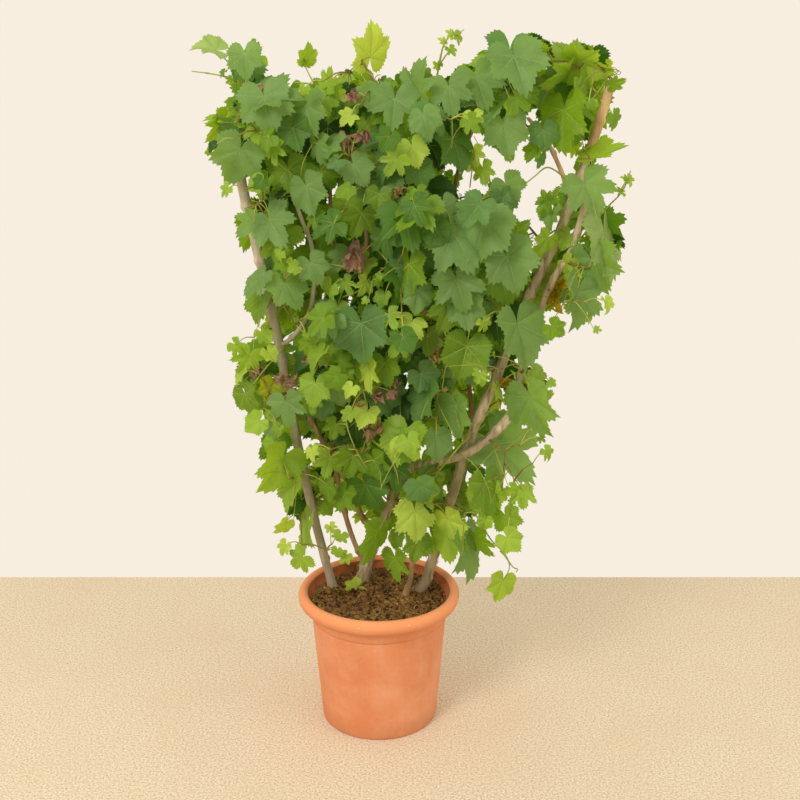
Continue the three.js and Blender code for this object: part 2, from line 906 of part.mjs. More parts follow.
const plant = new THREE.Group();
plant.add(mesh("pot", makePot(), LOOKS.clay));
plant.add(mesh("soil", makeSoil(), LOOKS.soil));

const limbs = makeLimbs();
for (const [name, limb] of Object.entries(limbs)) {
  plant.add(mesh(name, geometryOf(limb.solid), name.startsWith("cane") ? LOOKS.cane : LOOKS.bark));
}

const byLimb = Object.fromEntries(
  Object.entries(LIMBS).map(([name, limb]) => [name, limbSamples(limb)]),
);
const masses = layOutMasses();
const taken = [];
masses.forEach((mass) => addStem(mass, byLimb, taken));
masses.forEach((mass, index) => {
  const others = masses.filter((other) => other !== mass).map((other) => other.stem);
  const wood = woodAround(byLimb, others);
  const grown = growMass(mass, SEED + index, wood);
  const solid = massSolid(mass, grown, limbs[mass.limb]);
  plant.add(mesh(mass.name, geometryOf(solid), LOOKS.leaf));
});

export default plant;
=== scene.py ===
import math

import bpy
import numpy as np
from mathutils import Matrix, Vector, noise


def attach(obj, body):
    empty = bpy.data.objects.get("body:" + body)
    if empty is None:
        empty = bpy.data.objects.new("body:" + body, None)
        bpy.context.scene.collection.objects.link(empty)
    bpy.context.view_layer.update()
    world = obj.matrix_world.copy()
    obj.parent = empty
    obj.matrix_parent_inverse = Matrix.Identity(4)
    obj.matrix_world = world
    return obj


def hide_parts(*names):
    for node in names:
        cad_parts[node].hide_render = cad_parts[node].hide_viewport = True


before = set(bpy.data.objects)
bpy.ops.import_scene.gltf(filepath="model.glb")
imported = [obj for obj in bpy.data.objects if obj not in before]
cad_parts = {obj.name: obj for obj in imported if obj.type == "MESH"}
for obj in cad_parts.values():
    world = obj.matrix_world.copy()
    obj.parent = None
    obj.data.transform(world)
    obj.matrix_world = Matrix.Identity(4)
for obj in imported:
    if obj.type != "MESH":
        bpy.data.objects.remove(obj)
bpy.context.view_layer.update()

# The camera, in metres and degrees, and the square picture that it gives, in pixels.
CAMERA_PLACE = (0.047, -2.275, 1.412)
CAMERA_DROP = 16.33  # below level
LENS, SENSOR = 50, 36
PICTURE = 800
PIXEL = 2.07  # millimetres of the crown that a pixel shows
MM = 0.001  # a millimetre, in metres

# Sizes, as in the part's source.
POT = {
    "height": 310, "base_radius": 130.5, "foot": 3, "groove_height": 245, "groove_radius": 150,
    "groove_step": 1.5, "body_top": 277, "body_top_radius": 156, "rim_middle_radius": 168.5,
    "rim_half_width": 11.5, "rim_half_height": 16, "wall": 7,
}
SOIL_LEVEL = 285
POT_SPACE = (183, 313)  # radius and height kept free of leaves and twigs
# Each limb: its radius at the root and the tip, how far it flares at the soil, and its line.
LIMBS = {
    "trunk_left": ((12.5, 9.5), 1.35, [
        (-106, 42, 285), (-143, 42, 448), (-177, 38, 630), (-213, 30, 875), (-250, 20, 1072),
        (-275, 10, 1207), (-284, 6, 1280)]),
    "trunk_right": ((13.5, 8), 1.5, [
        (85, 17, 285), (106, 19, 320), (138, 24, 436), (159, 25, 504), (200, 25, 652),
        (248, 22, 775), (312, 20, 956), (358, 15, 1059), (393, 12, 1151), (424, 10, 1247),
        (445, 6, 1325), (455, 4, 1360), (464, 3, 1402)]),
    "trunk_centre": ((14.5, 11), 1.4, [
        (-43, 68, 285), (-20, 62, 365), (25, 55, 480), (51, 50, 548), (74, 45, 578)]),
    "stem_thin": ((5.5, 4.5), 1.8, [(58, -3, 285), (70, 0, 326), (76, 0, 401), (91, -4, 462)]),
    "arm_right": ((10, 7.5), 0, [
        (74, 45, 578), (135, 12, 603), (195, -12, 632), (247, -12, 674), (276, -10, 707),
        (292, -8, 742), (303, -8, 803), (331, -8, 918), (362, -10, 1004), (398, -10, 1070),
        (417, -8, 1138), (427, -6, 1172)]),
    "cane_left_low": ((6.5, 4.5), 0, [
        (-6, 60, 400), (-42, 52, 466), (-72, 45, 547), (-108, 38, 608), (-133, 30, 664),
        (-152, 18, 710), (-168, 6, 765)]),
    "cane_left_upper": ((5.5, 4.2), 0, [
        (-210, 31, 858), (-186, 14, 874), (-141, 2, 940), (-132, -4, 1064), (-152, -6, 1128),
        (-170, -8, 1180)]),
    "cane_mid_left": ((6, 4.2), 0, [
        (-29, 64, 330), (-56, 76, 380), (-85, 74, 486), (-98, 68, 585), (-106, 58, 728),
        (-95, 50, 952), (-97, 42, 1164), (-100, 32, 1285)]),
    "cane_centre": ((6.5, 4.5), 0, [
        (25, 55, 480), (14, 50, 636), (0, 42, 821), (-16, 36, 997), (-22, 28, 1150),
        (-10, 18, 1240), (35, 6, 1300), (62, 0, 1318)]),
    "cane_inner_right": ((5.2, 4), 0, [
        (206, 25, 668), (202, 46, 722), (194, 50, 789), (184, 50, 887), (166, 48, 1038),
        (158, 40, 1164), (172, 32, 1250), (196, 22, 1312)]),
    "cane_top_right": ((5, 4), 0, [
        (397, 12, 1164), (368, 6, 1234), (336, 2, 1290), (300, 0, 1330)]),
}
FLARE_HEIGHT = 45
LIMB_POINTS = 61  # on each limb's curve, for what grows from it or keeps clear of it
ROWS = [  # height, first and last centre across, how many in front
    ("crest", 1385, -250, 415, 4),
    ("upper", 1180, -225, 425, 4),
    ("middle", 980, -205, 430, 4),
    ("lower", 780, -225, 300, 4),
    ("foot", 590, -190, 270, 4),
]
ROW_DROP, STAGGER, FRONT_Y, BACK_Y = 98, 32, -45, 45
MASS_HALF = (135, 125, 125)
CROWN_X = 80
CROWN_Y = (20, 60)
FACING = (700, 0.45, 1.25)  # spread by, lift, sway
HANGING = (500, 1.9, 0.9)  # spread by, sway, swing
LEFT_EDGE = [  # height and place across
    (330, -125), (390, -166), (437, -215), (484, -202), (531, -238), (577, -266), (634, -260),
    (667, -242), (685, -228), (701, -262), (756, -306), (804, -296), (853, -293), (879, -251),
    (917, -258), (975, -272), (1047, -277), (1112, -283), (1172, -276), (1197, -307), (1269, -327),
    (1288, -334), (1336, -332), (1364, -272), (1392, -275), (1439, -288), (1466, -353),
    (1494, -355)]
RIGHT_EDGE = [
    (284, 300), (342, 298), (361, 223), (390, 253), (437, 291), (519, 311), (554, 305), (572, 330),
    (645, 334), (658, 359), (767, 374), (804, 367), (821, 335), (885, 351), (902, 431), (927, 454),
    (979, 468), (1031, 510), (1092, 515), (1128, 496), (1148, 455), (1234, 451), (1250, 474),
    (1288, 493), (1307, 463), (1364, 460), (1392, 478), (1420, 476), (1448, 455), (1466, 431)]
TOP_EDGE = [  # place across and height
    (-355, 1490), (-305, 1464), (-294, 1479), (-248, 1486), (-214, 1461), (-204, 1431),
    (-185, 1405), (-147, 1402), (-108, 1402), (-84, 1428), (-59, 1413), (-26, 1420), (35, 1417),
    (57, 1439), (93, 1457), (109, 1424), (147, 1420), (201, 1446), (208, 1475), (262, 1486),
    (277, 1497), (331, 1483), (347, 1468), (412, 1466), (455, 1453), (488, 1417)]
CROWN_BOTTOM = 385
WINDOWS = [  # gaps in the crown: place across, height, and half of each one's width and height
    (329, 1218, 54, 95), (350, 1286, 29, 30), (210, 1247, 21, 64), (350, 1095, 54, 22),
    (447, 1188, 12, 43), (-184, 1432, 29, 30), (118, 1413, 12, 17), (382, 898, 21, 22),
    (208, 1237, 32, 53), (301, 1136, 35, 20), (82, 619, 22, 22), (293, 807, 15, 20),
    (-229, 801, 15, 13), (-161, 619, 14, 14), (214, 1321, 26, 10)]
# From and up to which height each limb shows in front of the leaves near it.
SHOWING = {
    "trunk_left": (300, 1215), "trunk_right": (300, 1390), "arm_right": (590, 1160),
    "trunk_centre": (300, 520), "stem_thin": (290, 420), "cane_left_low": (440, 700),
    "cane_left_upper": (850, 1130), "cane_mid_left": (340, 560), "cane_inner_right": (650, 780)}
SEED = 1000
STEM_SPANS, STEM_LIFT, STEM_BOW, ROOT_SPACING, STEM_CLEAR = 5, 25, 26, 30, 45
# A leaf's corners and, last, its middle: across, along and out of its face, in shares of its size.
LEAF_CORNERS = np.array([(0, 0, 0), (-0.44, -0.3, -0.1), (-0.64, 0.3, -0.14), (0, 1, -0.16),
                         (0.64, 0.3, -0.14), (0.44, -0.3, -0.1), (0, 0.28, 0)])
LEAF_MIDDLE = 0.28  # how far along a leaf its middle lies
# The leaves that stand out in front, read off the picture: pixels across and down of each one's joint
# and tip, how far back its joint lies in millimetres, its tint, how wide it shows, and its kind.
FRONT_LEAVES = [
    (370, 57, 374, 22, -30, "bright", 0.48, 0), (417, 91, 421, 58, -60, "dull", 0.8, 1),
    (448.6, 87.2, 453.6, 116.9, -75, "dull", 1, 1), (395, 99, 392.3, 130.7, -70, "dull", 1.1, 1),
    (476.3, 77.3, 488, 110, -60, "dull", 1, 1), (514, 56, 527, 92, -84, "dull", 1.12, 0),
    (576, 62, 612, 72, -20, "fresh", 0.5, 0), (576, 59, 553, 42, -5, "pale", 0.55, 0),
    (612, 84, 626, 78, -30, "mid", 0.8, 3), (504, 124.8, 509, 158, -60, "dull", 1, 0),
    (564, 110, 559, 155, -30, "mid", 0.6, 0), (543, 130, 546, 152, -40, "cool", 1, 0),
    (412, 146.5, 418, 168, -95, "bright", 1, 2), (452, 140, 468, 172, -60, "deep", 0.6, 2),
    (585, 184, 600, 216, -70, "dull", 1, 1), (604, 232, 614, 283, -30, "pale", 0.6, 0),
    (594, 258, 602, 296, -40, "dull", 0.75, 1), (577, 292.8, 574, 331, -70, "dull", 0.86, 1),
    (506, 184, 519, 204, -30, "dull", 1, 0), (502, 198, 508, 221, -45, "cool", 0.8, 1),
    (513, 232, 531, 222, -30, "mid", 0.8, 0), (506, 256, 521, 293, -95, "dull", 1.05, 0),
    (456.5, 279, 466.4, 313, -100, "dull", 1, 1), (417, 290.9, 415, 315, -105, "dull", 0.9, 2),
    (409, 264, 406, 299, -95, "mid", 0.42, 0), (443, 203, 449, 224, -90, "dull", 0.85, 0),
    (418, 168, 424, 190, -85, "deep", 1, 0), (361.6, 213, 352, 238, -60, "mid", 0.9, 1),
    (379, 194, 377, 213, -70, "mid", 1, 0), (594, 158, 627, 147, -30, "fresh", 0.42, 1),
    (216, 50, 191, 43, -20, "pale", 0.6, 0), (245, 54, 247, 80, -40, "dull", 1, 0),
    (264, 97, 272, 135, -75, "dull", 1, 0), (268, 98, 302, 93, -60, "dull", 0.75, 1),
    (306, 106, 314, 137, -60, "dull", 0.8, 0), (240.6, 149.8, 229, 185, -60, "dull", 0.92, 0),
    (232, 121, 204, 115, -24, "fresh", 0.35, 1), (223, 121, 207, 143, -22, "fresh", 0.42, 1),
    (223, 127, 244, 133, -30, "dull", 0.6, 0), (293, 128, 300, 152, -55, "deep", 1, 0),
    (305.9, 186, 315, 216, -80, "dull", 0.85, 2), (270, 219.5, 284, 246, -75, "dull", 1.15, 1),
    (254, 222, 238, 234, -60, "dull", 1.15, 1), (288, 168, 296, 196, -20, "mid", 1, 0),
    (306, 59, 308, 42, -30, "fresh", 0.75, 0), (303, 62, 297, 60, -30, "fresh", 0.8, 1),
    (306, 62, 314, 65, -30, "fresh", 0.7, 1), (328, 84, 334, 67, -40, "fresh", 0.8, 1),
    (366, 92, 373, 110, -60, "dull", 0.9, 0), (328, 146, 345, 133, -60, "dull", 0.7, 0),
    (318, 144, 321, 166, -55, "dull", 0.8, 1), (354, 165, 368, 186, -70, "dull", 0.95, 0),
    (261, 277, 243, 296, -60, "dull", 0.6, 0), (285, 283, 301, 309, -65, "dull", 0.85, 0),
    (262, 299, 254, 326, -40, "mid", 0.85, 0), (311, 263, 321, 284, -70, "dull", 1, 0),
    (361, 323.5, 364, 364.6, -90, "cool", 0.95, 0), (286, 402, 291, 428, -85, "dull", 1, 1),
    (245, 394, 252, 419, -60, "mid", 0.85, 0), (249, 355, 240, 376, -40, "fresh", 0.7, 4),
    (322, 354.8, 306, 376, -80, "fresh", 0.6, 0), (315, 384, 313, 408, -90, "fresh", 1, 0),
    (369.2, 367.6, 370.5, 394, -80, "bright", 0.7, 1), (367, 412, 359, 428, -80, "bright", 1.2, 2),
    (386, 362, 391, 387, -60, "mid", 0.8, 0), (272, 385, 267, 405, -30, "lime", 0.8, 0),
    (466.9, 346.3, 459, 381, -70, "mid", 1, 2), (517, 324, 530, 369, -95, "dull", 0.9, 0),
    (531, 397, 544, 441, -70, "dull", 0.5, 0), (496, 444, 533, 483, 54, "dull", 0.9, 1),
    (457, 406, 462, 440, -60, "dull", 0.6, 0), (436, 438, 438, 463, -70, "dull", 0.9, 2),
    (427, 393, 417, 428, -50, "cool", 0.45, 0), (421, 374, 436, 392, -50, "cool", 1, 0),
    (427, 336, 429, 357, -40, "mid", 1, 1), (281, 459, 262, 495, -40, "fresh", 0.62, 0),
    (295, 487, 286, 514, -30, "fresh", 0.6, 0), (285, 522.5, 274.2, 535, -20, "bright", 0.4, 0),
    (309, 523, 301, 556, -20, "fresh", 0.4, 0), (377, 532, 361, 567, -70, "mid", 0.4, 2),
    (395.4, 558, 398, 584, -60, "mid", 0.75, 1), (414.8, 511, 418.4, 543, -90, "bright", 0.95, 0),
    (448, 519, 460, 544, -70, "bright", 0.65, 2), (417.5, 542, 412, 562, -50, "mid", 0.95, 0),
    (449, 533.6, 450.8, 563, -45, "fresh", 0.7, 0), (465, 541, 473, 584, -55, "dull", 0.4, 0),
    (478, 537, 490, 560, -40, "mid", 0.55, 1), (484.8, 484, 490, 521, -60, "mid", 0.75, 0),
    (505.3, 516, 514, 536, -40, "mid", 0.85, 0), (502.6, 580.4, 496, 602, -40, "fresh", 0.86, 0),
    (365, 484, 380, 512, 0, "deep", 0.8, 0), (353, 456, 346, 480, -30, "mid", 0.8, 1),
    (374, 460, 384, 482, -40, "mid", 0.8, 0), (394, 468, 397, 492, -40, "deep", 0.8, 1),
    (346, 492, 338, 512, -30, "mid", 0.8, 0), (330, 458, 324, 478, -30, "fresh", 0.8, 1),
    (326, 484, 332, 503, -30, "mid", 0.7, 0), (336, 424, 331, 440, -40, "mid", 0.8, 1),
    (547, 202, 536, 213, -25, "mid", 0.7, 1), (553, 200, 557, 191, -28, "mid", 0.8, 1),
    (552, 211, 547, 230, -30, "dull", 0.62, 0), (546, 199, 542, 190, -24, "mid", 1, 1),
    (569, 236, 560, 250, -5, "fresh", 0.9, 0), (548, 238, 537, 253, -20, "fresh", 0.9, 0),
    (577, 90, 588, 67, -16, "fresh", 0.8, 1), (570, 70, 540, 88, -10, "fresh", 0.5, 1),
    (474, 152, 478, 168, -20, "bright", 0.8, 1), (470, 158, 466, 172, -24, "bright", 0.8, 0),
    (483, 168, 486, 186, -20, "fresh", 0.7, 1), (541, 156, 538, 169, -30, "cool", 0.6, 0),
    (537, 149, 526, 162, -30, "mid", 0.7, 0), (357, 587, 343, 594, 40, "bright", 0.95, 0),
    (236, 345, 247, 356, -40, "fresh", 0.8, 4), (262, 333, 270, 344, -44, "fresh", 0.8, 1),
    (243, 372, 236, 386, -46, "bright", 0.7, 0), (268, 352, 276, 363, -50, "bright", 0.8, 0),
    (345, 282, 352, 296, -50, "fresh", 0.8, 4), (366, 282, 359, 298, -54, "bright", 0.7, 1),
    (384, 296, 380, 310, -56, "fresh", 0.8, 0), (450, 49, 455, 57, -14, "fresh", 0.8, 1),
    (444, 43, 439, 37, -20, "bright", 0.8, 1), (455, 35, 459, 46, -24, "fresh", 0.7, 1),
    (452, 35, 446, 30, -22, "bright", 0.7, 1), (439, 66, 433, 62, -10, "fresh", 0.7, 1),
    (622, 192, 614, 189, -30, "fresh", 0.7, 1), (628, 178, 632, 187, -30, "fresh", 0.7, 1),
    (626, 181, 620, 177, -34, "bright", 0.7, 1), (231, 79, 226, 84, -12, "fresh", 0.7, 1),
    (224, 72, 219, 77, -14, "mid", 0.7, 1), (244, 88, 248, 99, -30, "mid", 0.8, 1),
    (337, 92, 346, 102, -40, "fresh", 0.8, 1), (497, 388, 504, 404, -40, "bright", 0.4, 1),
    (566, 262, 577, 272, -20, "bright", 0.6, 1), (588, 250, 600, 262, -24, "mid", 0.7, 1),
    (572, 268, 578, 289, -20, "bright", 0.4, 1), (431, 538, 435, 554, -30, "fresh", 0.8, 1),
    (398, 536, 393, 550, -20, "mid", 0.9, 2), (404, 524, 398, 536, 10, "mid", 0.9, 1),
    (438, 523, 432, 536, 20, "mid", 0.9, 0), (449, 303, 443, 334, -84, "mid", 0.9, 1),
    (465, 304, 469, 331, -88, "dull", 0.95, 0),
]
# Withered and curled leaves: pixels across and down, how far back, half their size in pixels, and tint.
CRUMPLED = [
    (354, 251, -80, 16, "dead"), (347, 140, -50, 11, "dead"), (370.5, 433, -60, 11, "dead"),
    (289, 381.6, -60, 10, "dead"), (257, 374, -40, 8, "dead"), (374, 395.6, -50, 6, "dead"),
    (303, 358.6, -50, 6, "dead"), (440, 347.4, -30, 10, "husk"), (434, 357.7, -30, 8, "husk"),
    (398, 192, -60, 7, "husk"), (557, 290, -10, 9, "yellow"), (556, 303, -12, 10, "yellow"),
    (295.5, 471, 10, 8, "lime"), (372, 78, -20, 4, "dead"), (380, 75, -20, 4, "dead"),
    (506, 384, -20, 9, "yellow"), (351, 93, -70, 7, "dead"), (358, 131, -66, 8, "dead"),
    (377, 397, -70, 9, "dead"), (390, 391, -70, 8, "dead"), (355, 406, -70, 7, "dead"),
    (474, 489, -70, 6, "husk"), (446, 390, -70, 5, "husk"), (425, 312, -60, 5, "dead"),
    (242, 85, -40, 5, "dead"), (262, 84, -44, 5, "dead"),
]
# Green shoots and long stalks from their roots: pixels across and down, and how far back.
SHOOTS = {
    "top_curl": [(436, 84, 0), (438.7, 67.5, -8), (445, 56, -12), (450.6, 49.7, -14)],
    "top_curl_2": [
        (438.7, 67.5, -8), (441, 54, -16), (445, 42, -20), (452, 35, -22), (459, 35.5, -22),
        (461, 42, -20)],
    "top_tendril": [(455, 36, -22), (460, 33, -24), (464, 29.5, -22)],
    "left_shoot": [(252, 92, 0), (231, 78.7, -10), (212, 74, -14), (191.5, 71.3, -16)],
    "left_leaf_shoot": [(252, 92, 0), (236, 80, -10), (228, 62, -15), (217.9, 52.3, -20)],
    "sprout": [(330, 104, 0), (325, 94.8, -14), (314.7, 84.5, -22), (308, 73, -28), (304.4, 64, -30)],
    "sprout_stub": [(314.7, 84.5, -22), (304, 83, -26), (294, 82.3, -28)],
    "shoot_right": [(582, 237, 0), (604, 210.6, -20), (622, 192, -30), (629, 177, -30)],
    "shoot_right_tip": [(618, 196, -28), (626, 181, -34), (631, 171, -36)],
    "hanging": [
        (449, 500, 40), (475, 515, 0), (491, 539.5, -30), (506, 556, -40), (509.4, 567.7, -40),
        (503.5, 579.8, -40)],
    "hanging_curl": [(500, 551, -36), (505, 556, -42), (514, 568, -44), (518, 569, -46), (516, 572, -46)],
    "gap_shoot": [
        (565, 178, -4), (556, 171, -14), (546.5, 167.3, -20), (534, 177, -24), (521.8, 187, -30)],
    "gap_spur": [(455, 200, 30), (468.4, 196, 4), (480, 197, -6), (492, 192, -12)],
    "gap_stalk": [(492, 192, -12), (488, 172, -20), (482, 152, -24), (474, 136, -20)],
    "left_diag": [(286, 345, 20), (280, 352, -30), (266, 368, -44), (249.3, 389.2, -52)],
    "centre_diag": [(342, 297, -40), (358, 291, -48), (372, 277, -50), (391, 264, -40)],
    "low_diag": [(343.7, 405.8, -30), (352, 390, -44), (362, 372, -50), (370.5, 361, -46)],
    "cross_stalk": [(439, 470, -40), (456, 450, -52), (470, 437, -50), (485.3, 424.3, -40)],
    "cross_stalk_2": [
        (424, 492, -30), (440, 470, -56), (462, 444, -58), (482, 420, -50), (500, 400, -40)],
    "low_right_stalk": [(458, 452, -20), (475, 466, -60), (488, 488, -66), (492, 510, -60)],
    "left_run": [(290, 395, -30), (300, 391, -50), (310, 380, -56), (318, 366, -50)],
    "middle_run": [(345, 372, -40), (350, 395, -52), (346, 420, -50), (354, 446, -44), (368, 470, -30)],
    "mid_run": [(322, 302, -40), (334, 318, -54), (340, 342, -52), (352, 352, -46), (366, 356, -40)],
    "mid_run_2": [(330, 264, -50), (346, 266, -60), (356, 258, -60), (372, 244, -50)],
    "mid_run_3": [(376, 248, -50), (388, 262, -62), (400, 276, -60), (404, 290, -50)],
    "left_stalk": [(263, 150, -30), (280, 165, -56), (296, 178, -60)],
    "left_stalk_2": [(316, 138, -40), (304, 160, -56), (300, 176, -56)],
    "lower_run": [(372, 440, -40), (386, 452, -54), (396, 470, -50), (400, 492, -40)],
    "window_twig": [(470, 140, -10), (474, 154, -22), (472, 172, -24), (470, 188, -18)],
}

# Small helpers.
EYE = np.array(CAMERA_PLACE) / MM  # the camera's place in millimetres
FACTOR, MODULUS = 16807, 2**31 - 1  # of the generator of random numbers
TIP_LEAN, WIDE_LEAN = 0.22, 0.05  # how far a front leaf's tip leans out, and a wide one's besides
STEEP = 0.9  # from here on a path counts as upright
SEEDS = {"chips": 3, "crumbs": 11, "flakes": 23, "leaves": 5, "withered": 8, "twigs": 31}


def random_source(seed):
    """Gives a function that draws numbers from 0 to 1, as in the part's source."""
    state = seed

    def draw():
        nonlocal state
        state = state * FACTOR % MODULUS
        return state / MODULUS

    return draw


def mix(a, b, share):
    return a + (b - a) * share


def on_picture(across, down, back):
    """The place, in whole millimetres, that the camera sees at a pixel, as far back as is given."""
    x, y, z = EYE
    reach = PICTURE * LENS / SENSOR
    right, up = (across - PICTURE / 2) / reach, (PICTURE / 2 - down) / reach
    drop = math.radians(CAMERA_DROP)
    far = (back - y) / (math.cos(drop) + up * math.sin(drop))
    rise = up * math.cos(drop) - math.sin(drop)
    return np.round(np.array([x + far * right, back, z + far * rise]))


def as_seen(points):
    """Where the camera sees points: across and up, on the upright plane through the pot's middle."""
    nearer = EYE[1] / (EYE[1] - points[..., 1:2])
    return EYE[[0, 2]] + (points[..., [0, 2]] - EYE[[0, 2]]) * nearer


def leaf_ends(joint_across, joint_down, tip_across, tip_down, back, width):
    """A front leaf's joint and tip. Its tip leans out, the more the wider it shows."""
    lean = TIP_LEAN if width <= 1 else math.sqrt(width**2 - 1) + WIDE_LEAN
    length = math.hypot(tip_across - joint_across, tip_down - joint_down) * PIXEL
    return (on_picture(joint_across, joint_down, back),
            on_picture(tip_across, tip_down, back - lean * length))


def shoot_paths():
    return {name: [on_picture(*point) for point in path] for name, path in SHOOTS.items()}


def unit(vector):
    return vector / np.linalg.norm(vector)


def square_to(facing, along):
    """A facing turned until it stands square to the way along."""
    return unit(facing - along * along.dot(facing))


def curve(line, count):
    """Points on the centripetal curve through a line's points."""
    points = np.array(line, float)
    padded = np.vstack([2 * points[0] - points[1], points, 2 * points[-1] - points[-2]])
    places = []
    for t in np.linspace(0, len(points) - 1, count):
        i = min(int(t), len(points) - 2)
        w = t - i
        a, b, c, d = padded[i : i + 4]
        d0, d1, d2 = (max(np.linalg.norm(v) ** 0.5, 1e-4) for v in (b - a, c - b, d - c))
        t1 = ((b - a) / d0 - (c - a) / (d0 + d1) + (c - b) / d1) * d1
        t2 = ((c - b) / d1 - (d - b) / (d1 + d2) + (d - c) / d2) * d1
        cubic = (-3 * b + 3 * c - 2 * t1 - t2) * w**2 + (2 * b - 2 * c + t1 + t2) * w**3
        places.append(b + t1 * w + cubic)
    return np.array(places)


def spaced(path, step):
    """A path's points again, evenly spaced, and how far along it each one lies."""
    lengths = np.concatenate([[0], np.cumsum(np.linalg.norm(np.diff(path, axis=0), axis=1))])
    along = np.linspace(0, lengths[-1], max(2, int(round(lengths[-1] / step)) + 1))
    return np.stack([np.interp(along, lengths, path[:, i]) for i in range(3)], axis=1), along


def frames(path):
    """The two directions across a path at each of its points, with no twist along it."""
    tangents = np.gradient(path, axis=0)
    tangents /= np.linalg.norm(tangents, axis=1)[:, None]
    first = np.array([1.0, 0, 0]) if abs(tangents[0][2]) > STEEP else np.array([0, 0, 1.0])
    side = unit(np.cross(first, tangents[0]))
    sides = []
    for tangent in tangents:
        side = unit(side - tangent * side.dot(tangent))
        sides.append(side)
    sides = np.array(sides)
    return sides, np.cross(tangents, sides)


def turns_round(count):
    return 2 * math.pi * np.arange(count) / count


class Heap:
    """Triangles gathered for one piece."""

    def __init__(self):
        self.places, self.faces, self.count = [], [], 0

    def add(self, places, faces):
        self.places.append(places)
        self.faces.append(faces + self.count)
        self.count += len(places)

    def piece(self, name, material, slot):
        return make_piece(name, np.vstack(self.places), np.vstack(self.faces), material)


def make_piece(name, places, faces, material, smooth=True):
    """A mesh piece from triangles, given in millimetres, that rides on the plant's body."""
    mesh = bpy.data.meshes.new(name)
    mesh.vertices.add(len(places))
    mesh.vertices.foreach_set("co", (np.asarray(places) * MM).astype(np.float32).ravel())
    mesh.loops.add(len(faces) * 3)
    mesh.loops.foreach_set("vertex_index", np.asarray(faces, np.int32).ravel())
    mesh.polygons.add(len(faces))
    mesh.polygons.foreach_set("loop_start", np.arange(0, len(faces) * 3, 3, dtype=np.int32))
    mesh.polygons.foreach_set("loop_total", np.full(len(faces), 3, np.int32))
    mesh.polygons.foreach_set("use_smooth", np.full(len(faces), smooth))
    mesh.update(calc_edges=True)
    mesh.validate()
    made = bpy.data.objects.new(name, mesh)
    bpy.context.scene.collection.objects.link(made)
    mesh.materials.append(material)
    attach(made, "root")
    return made


def ring_faces(rings, sides, capped=True):
    """The triangles between closed rings. Where it is capped, two last points close the ends."""
    faces = []
    for k in range(sides):
        n = (k + 1) % sides
        base = np.arange(rings - 1) * sides
        faces.append(np.stack([base + k, base + n, base + n + sides], axis=1))
        faces.append(np.stack([base + k, base + n + sides, base + k + sides], axis=1))
        if capped:
            last = (rings - 1) * sides
            faces.append(np.array([[rings * sides, n, k], [rings * sides + 1, last + k, last + n]]))
    return np.vstack(faces)


def strip_faces(rows, width):
    """The triangles of a strip made of rows with as many points each as its width."""
    faces = []
    for k in range(rows - 1):
        for c in range(width - 1):
            a = width * k + c
            faces += [(a, a + 1, a + width + 1), (a, a + width + 1, a + width)]
    return np.array(faces)


def repeated(faces, points, times):
    """A pattern's triangles once for each repeat of its points."""
    return (faces[None] + points * np.arange(times)[:, None, None]).reshape(-1, 3)


def tube(path, radii, sides):
    """A tube through a path: its points and triangles. radii has a value, or one for each side, at
    each point."""
    side, up = frames(path)
    turn = turns_round(sides)
    radii = np.asarray(radii, float)
    if radii.ndim == 1:
        radii = np.repeat(radii[:, None], sides, axis=1)
    ring = np.cos(turn)[None, :, None] * side[:, None] + np.sin(turn)[None, :, None] * up[:, None]
    places = path[:, None] + radii[:, :, None] * ring
    return np.vstack([places.reshape(-1, 3), path[:1], path[-1:]]), ring_faces(len(path), sides)


def tapered_tube(path, thick, thin, sides):
    return tube(path, np.linspace(thick, thin, len(path)), sides)


# Materials.
def paint(red, green, blue):
    """A colour as it is seen on a screen, for a shader."""
    shares = [c / 255 for c in (red, green, blue)]
    return tuple(c / 12.92 if c < 0.04045 else ((c + 0.055) / 1.055) ** 2.4 for c in shares) + (1,)


def shaded(colour, share):
    return tuple(min(1, c * share) for c in colour[:3]) + (1,)


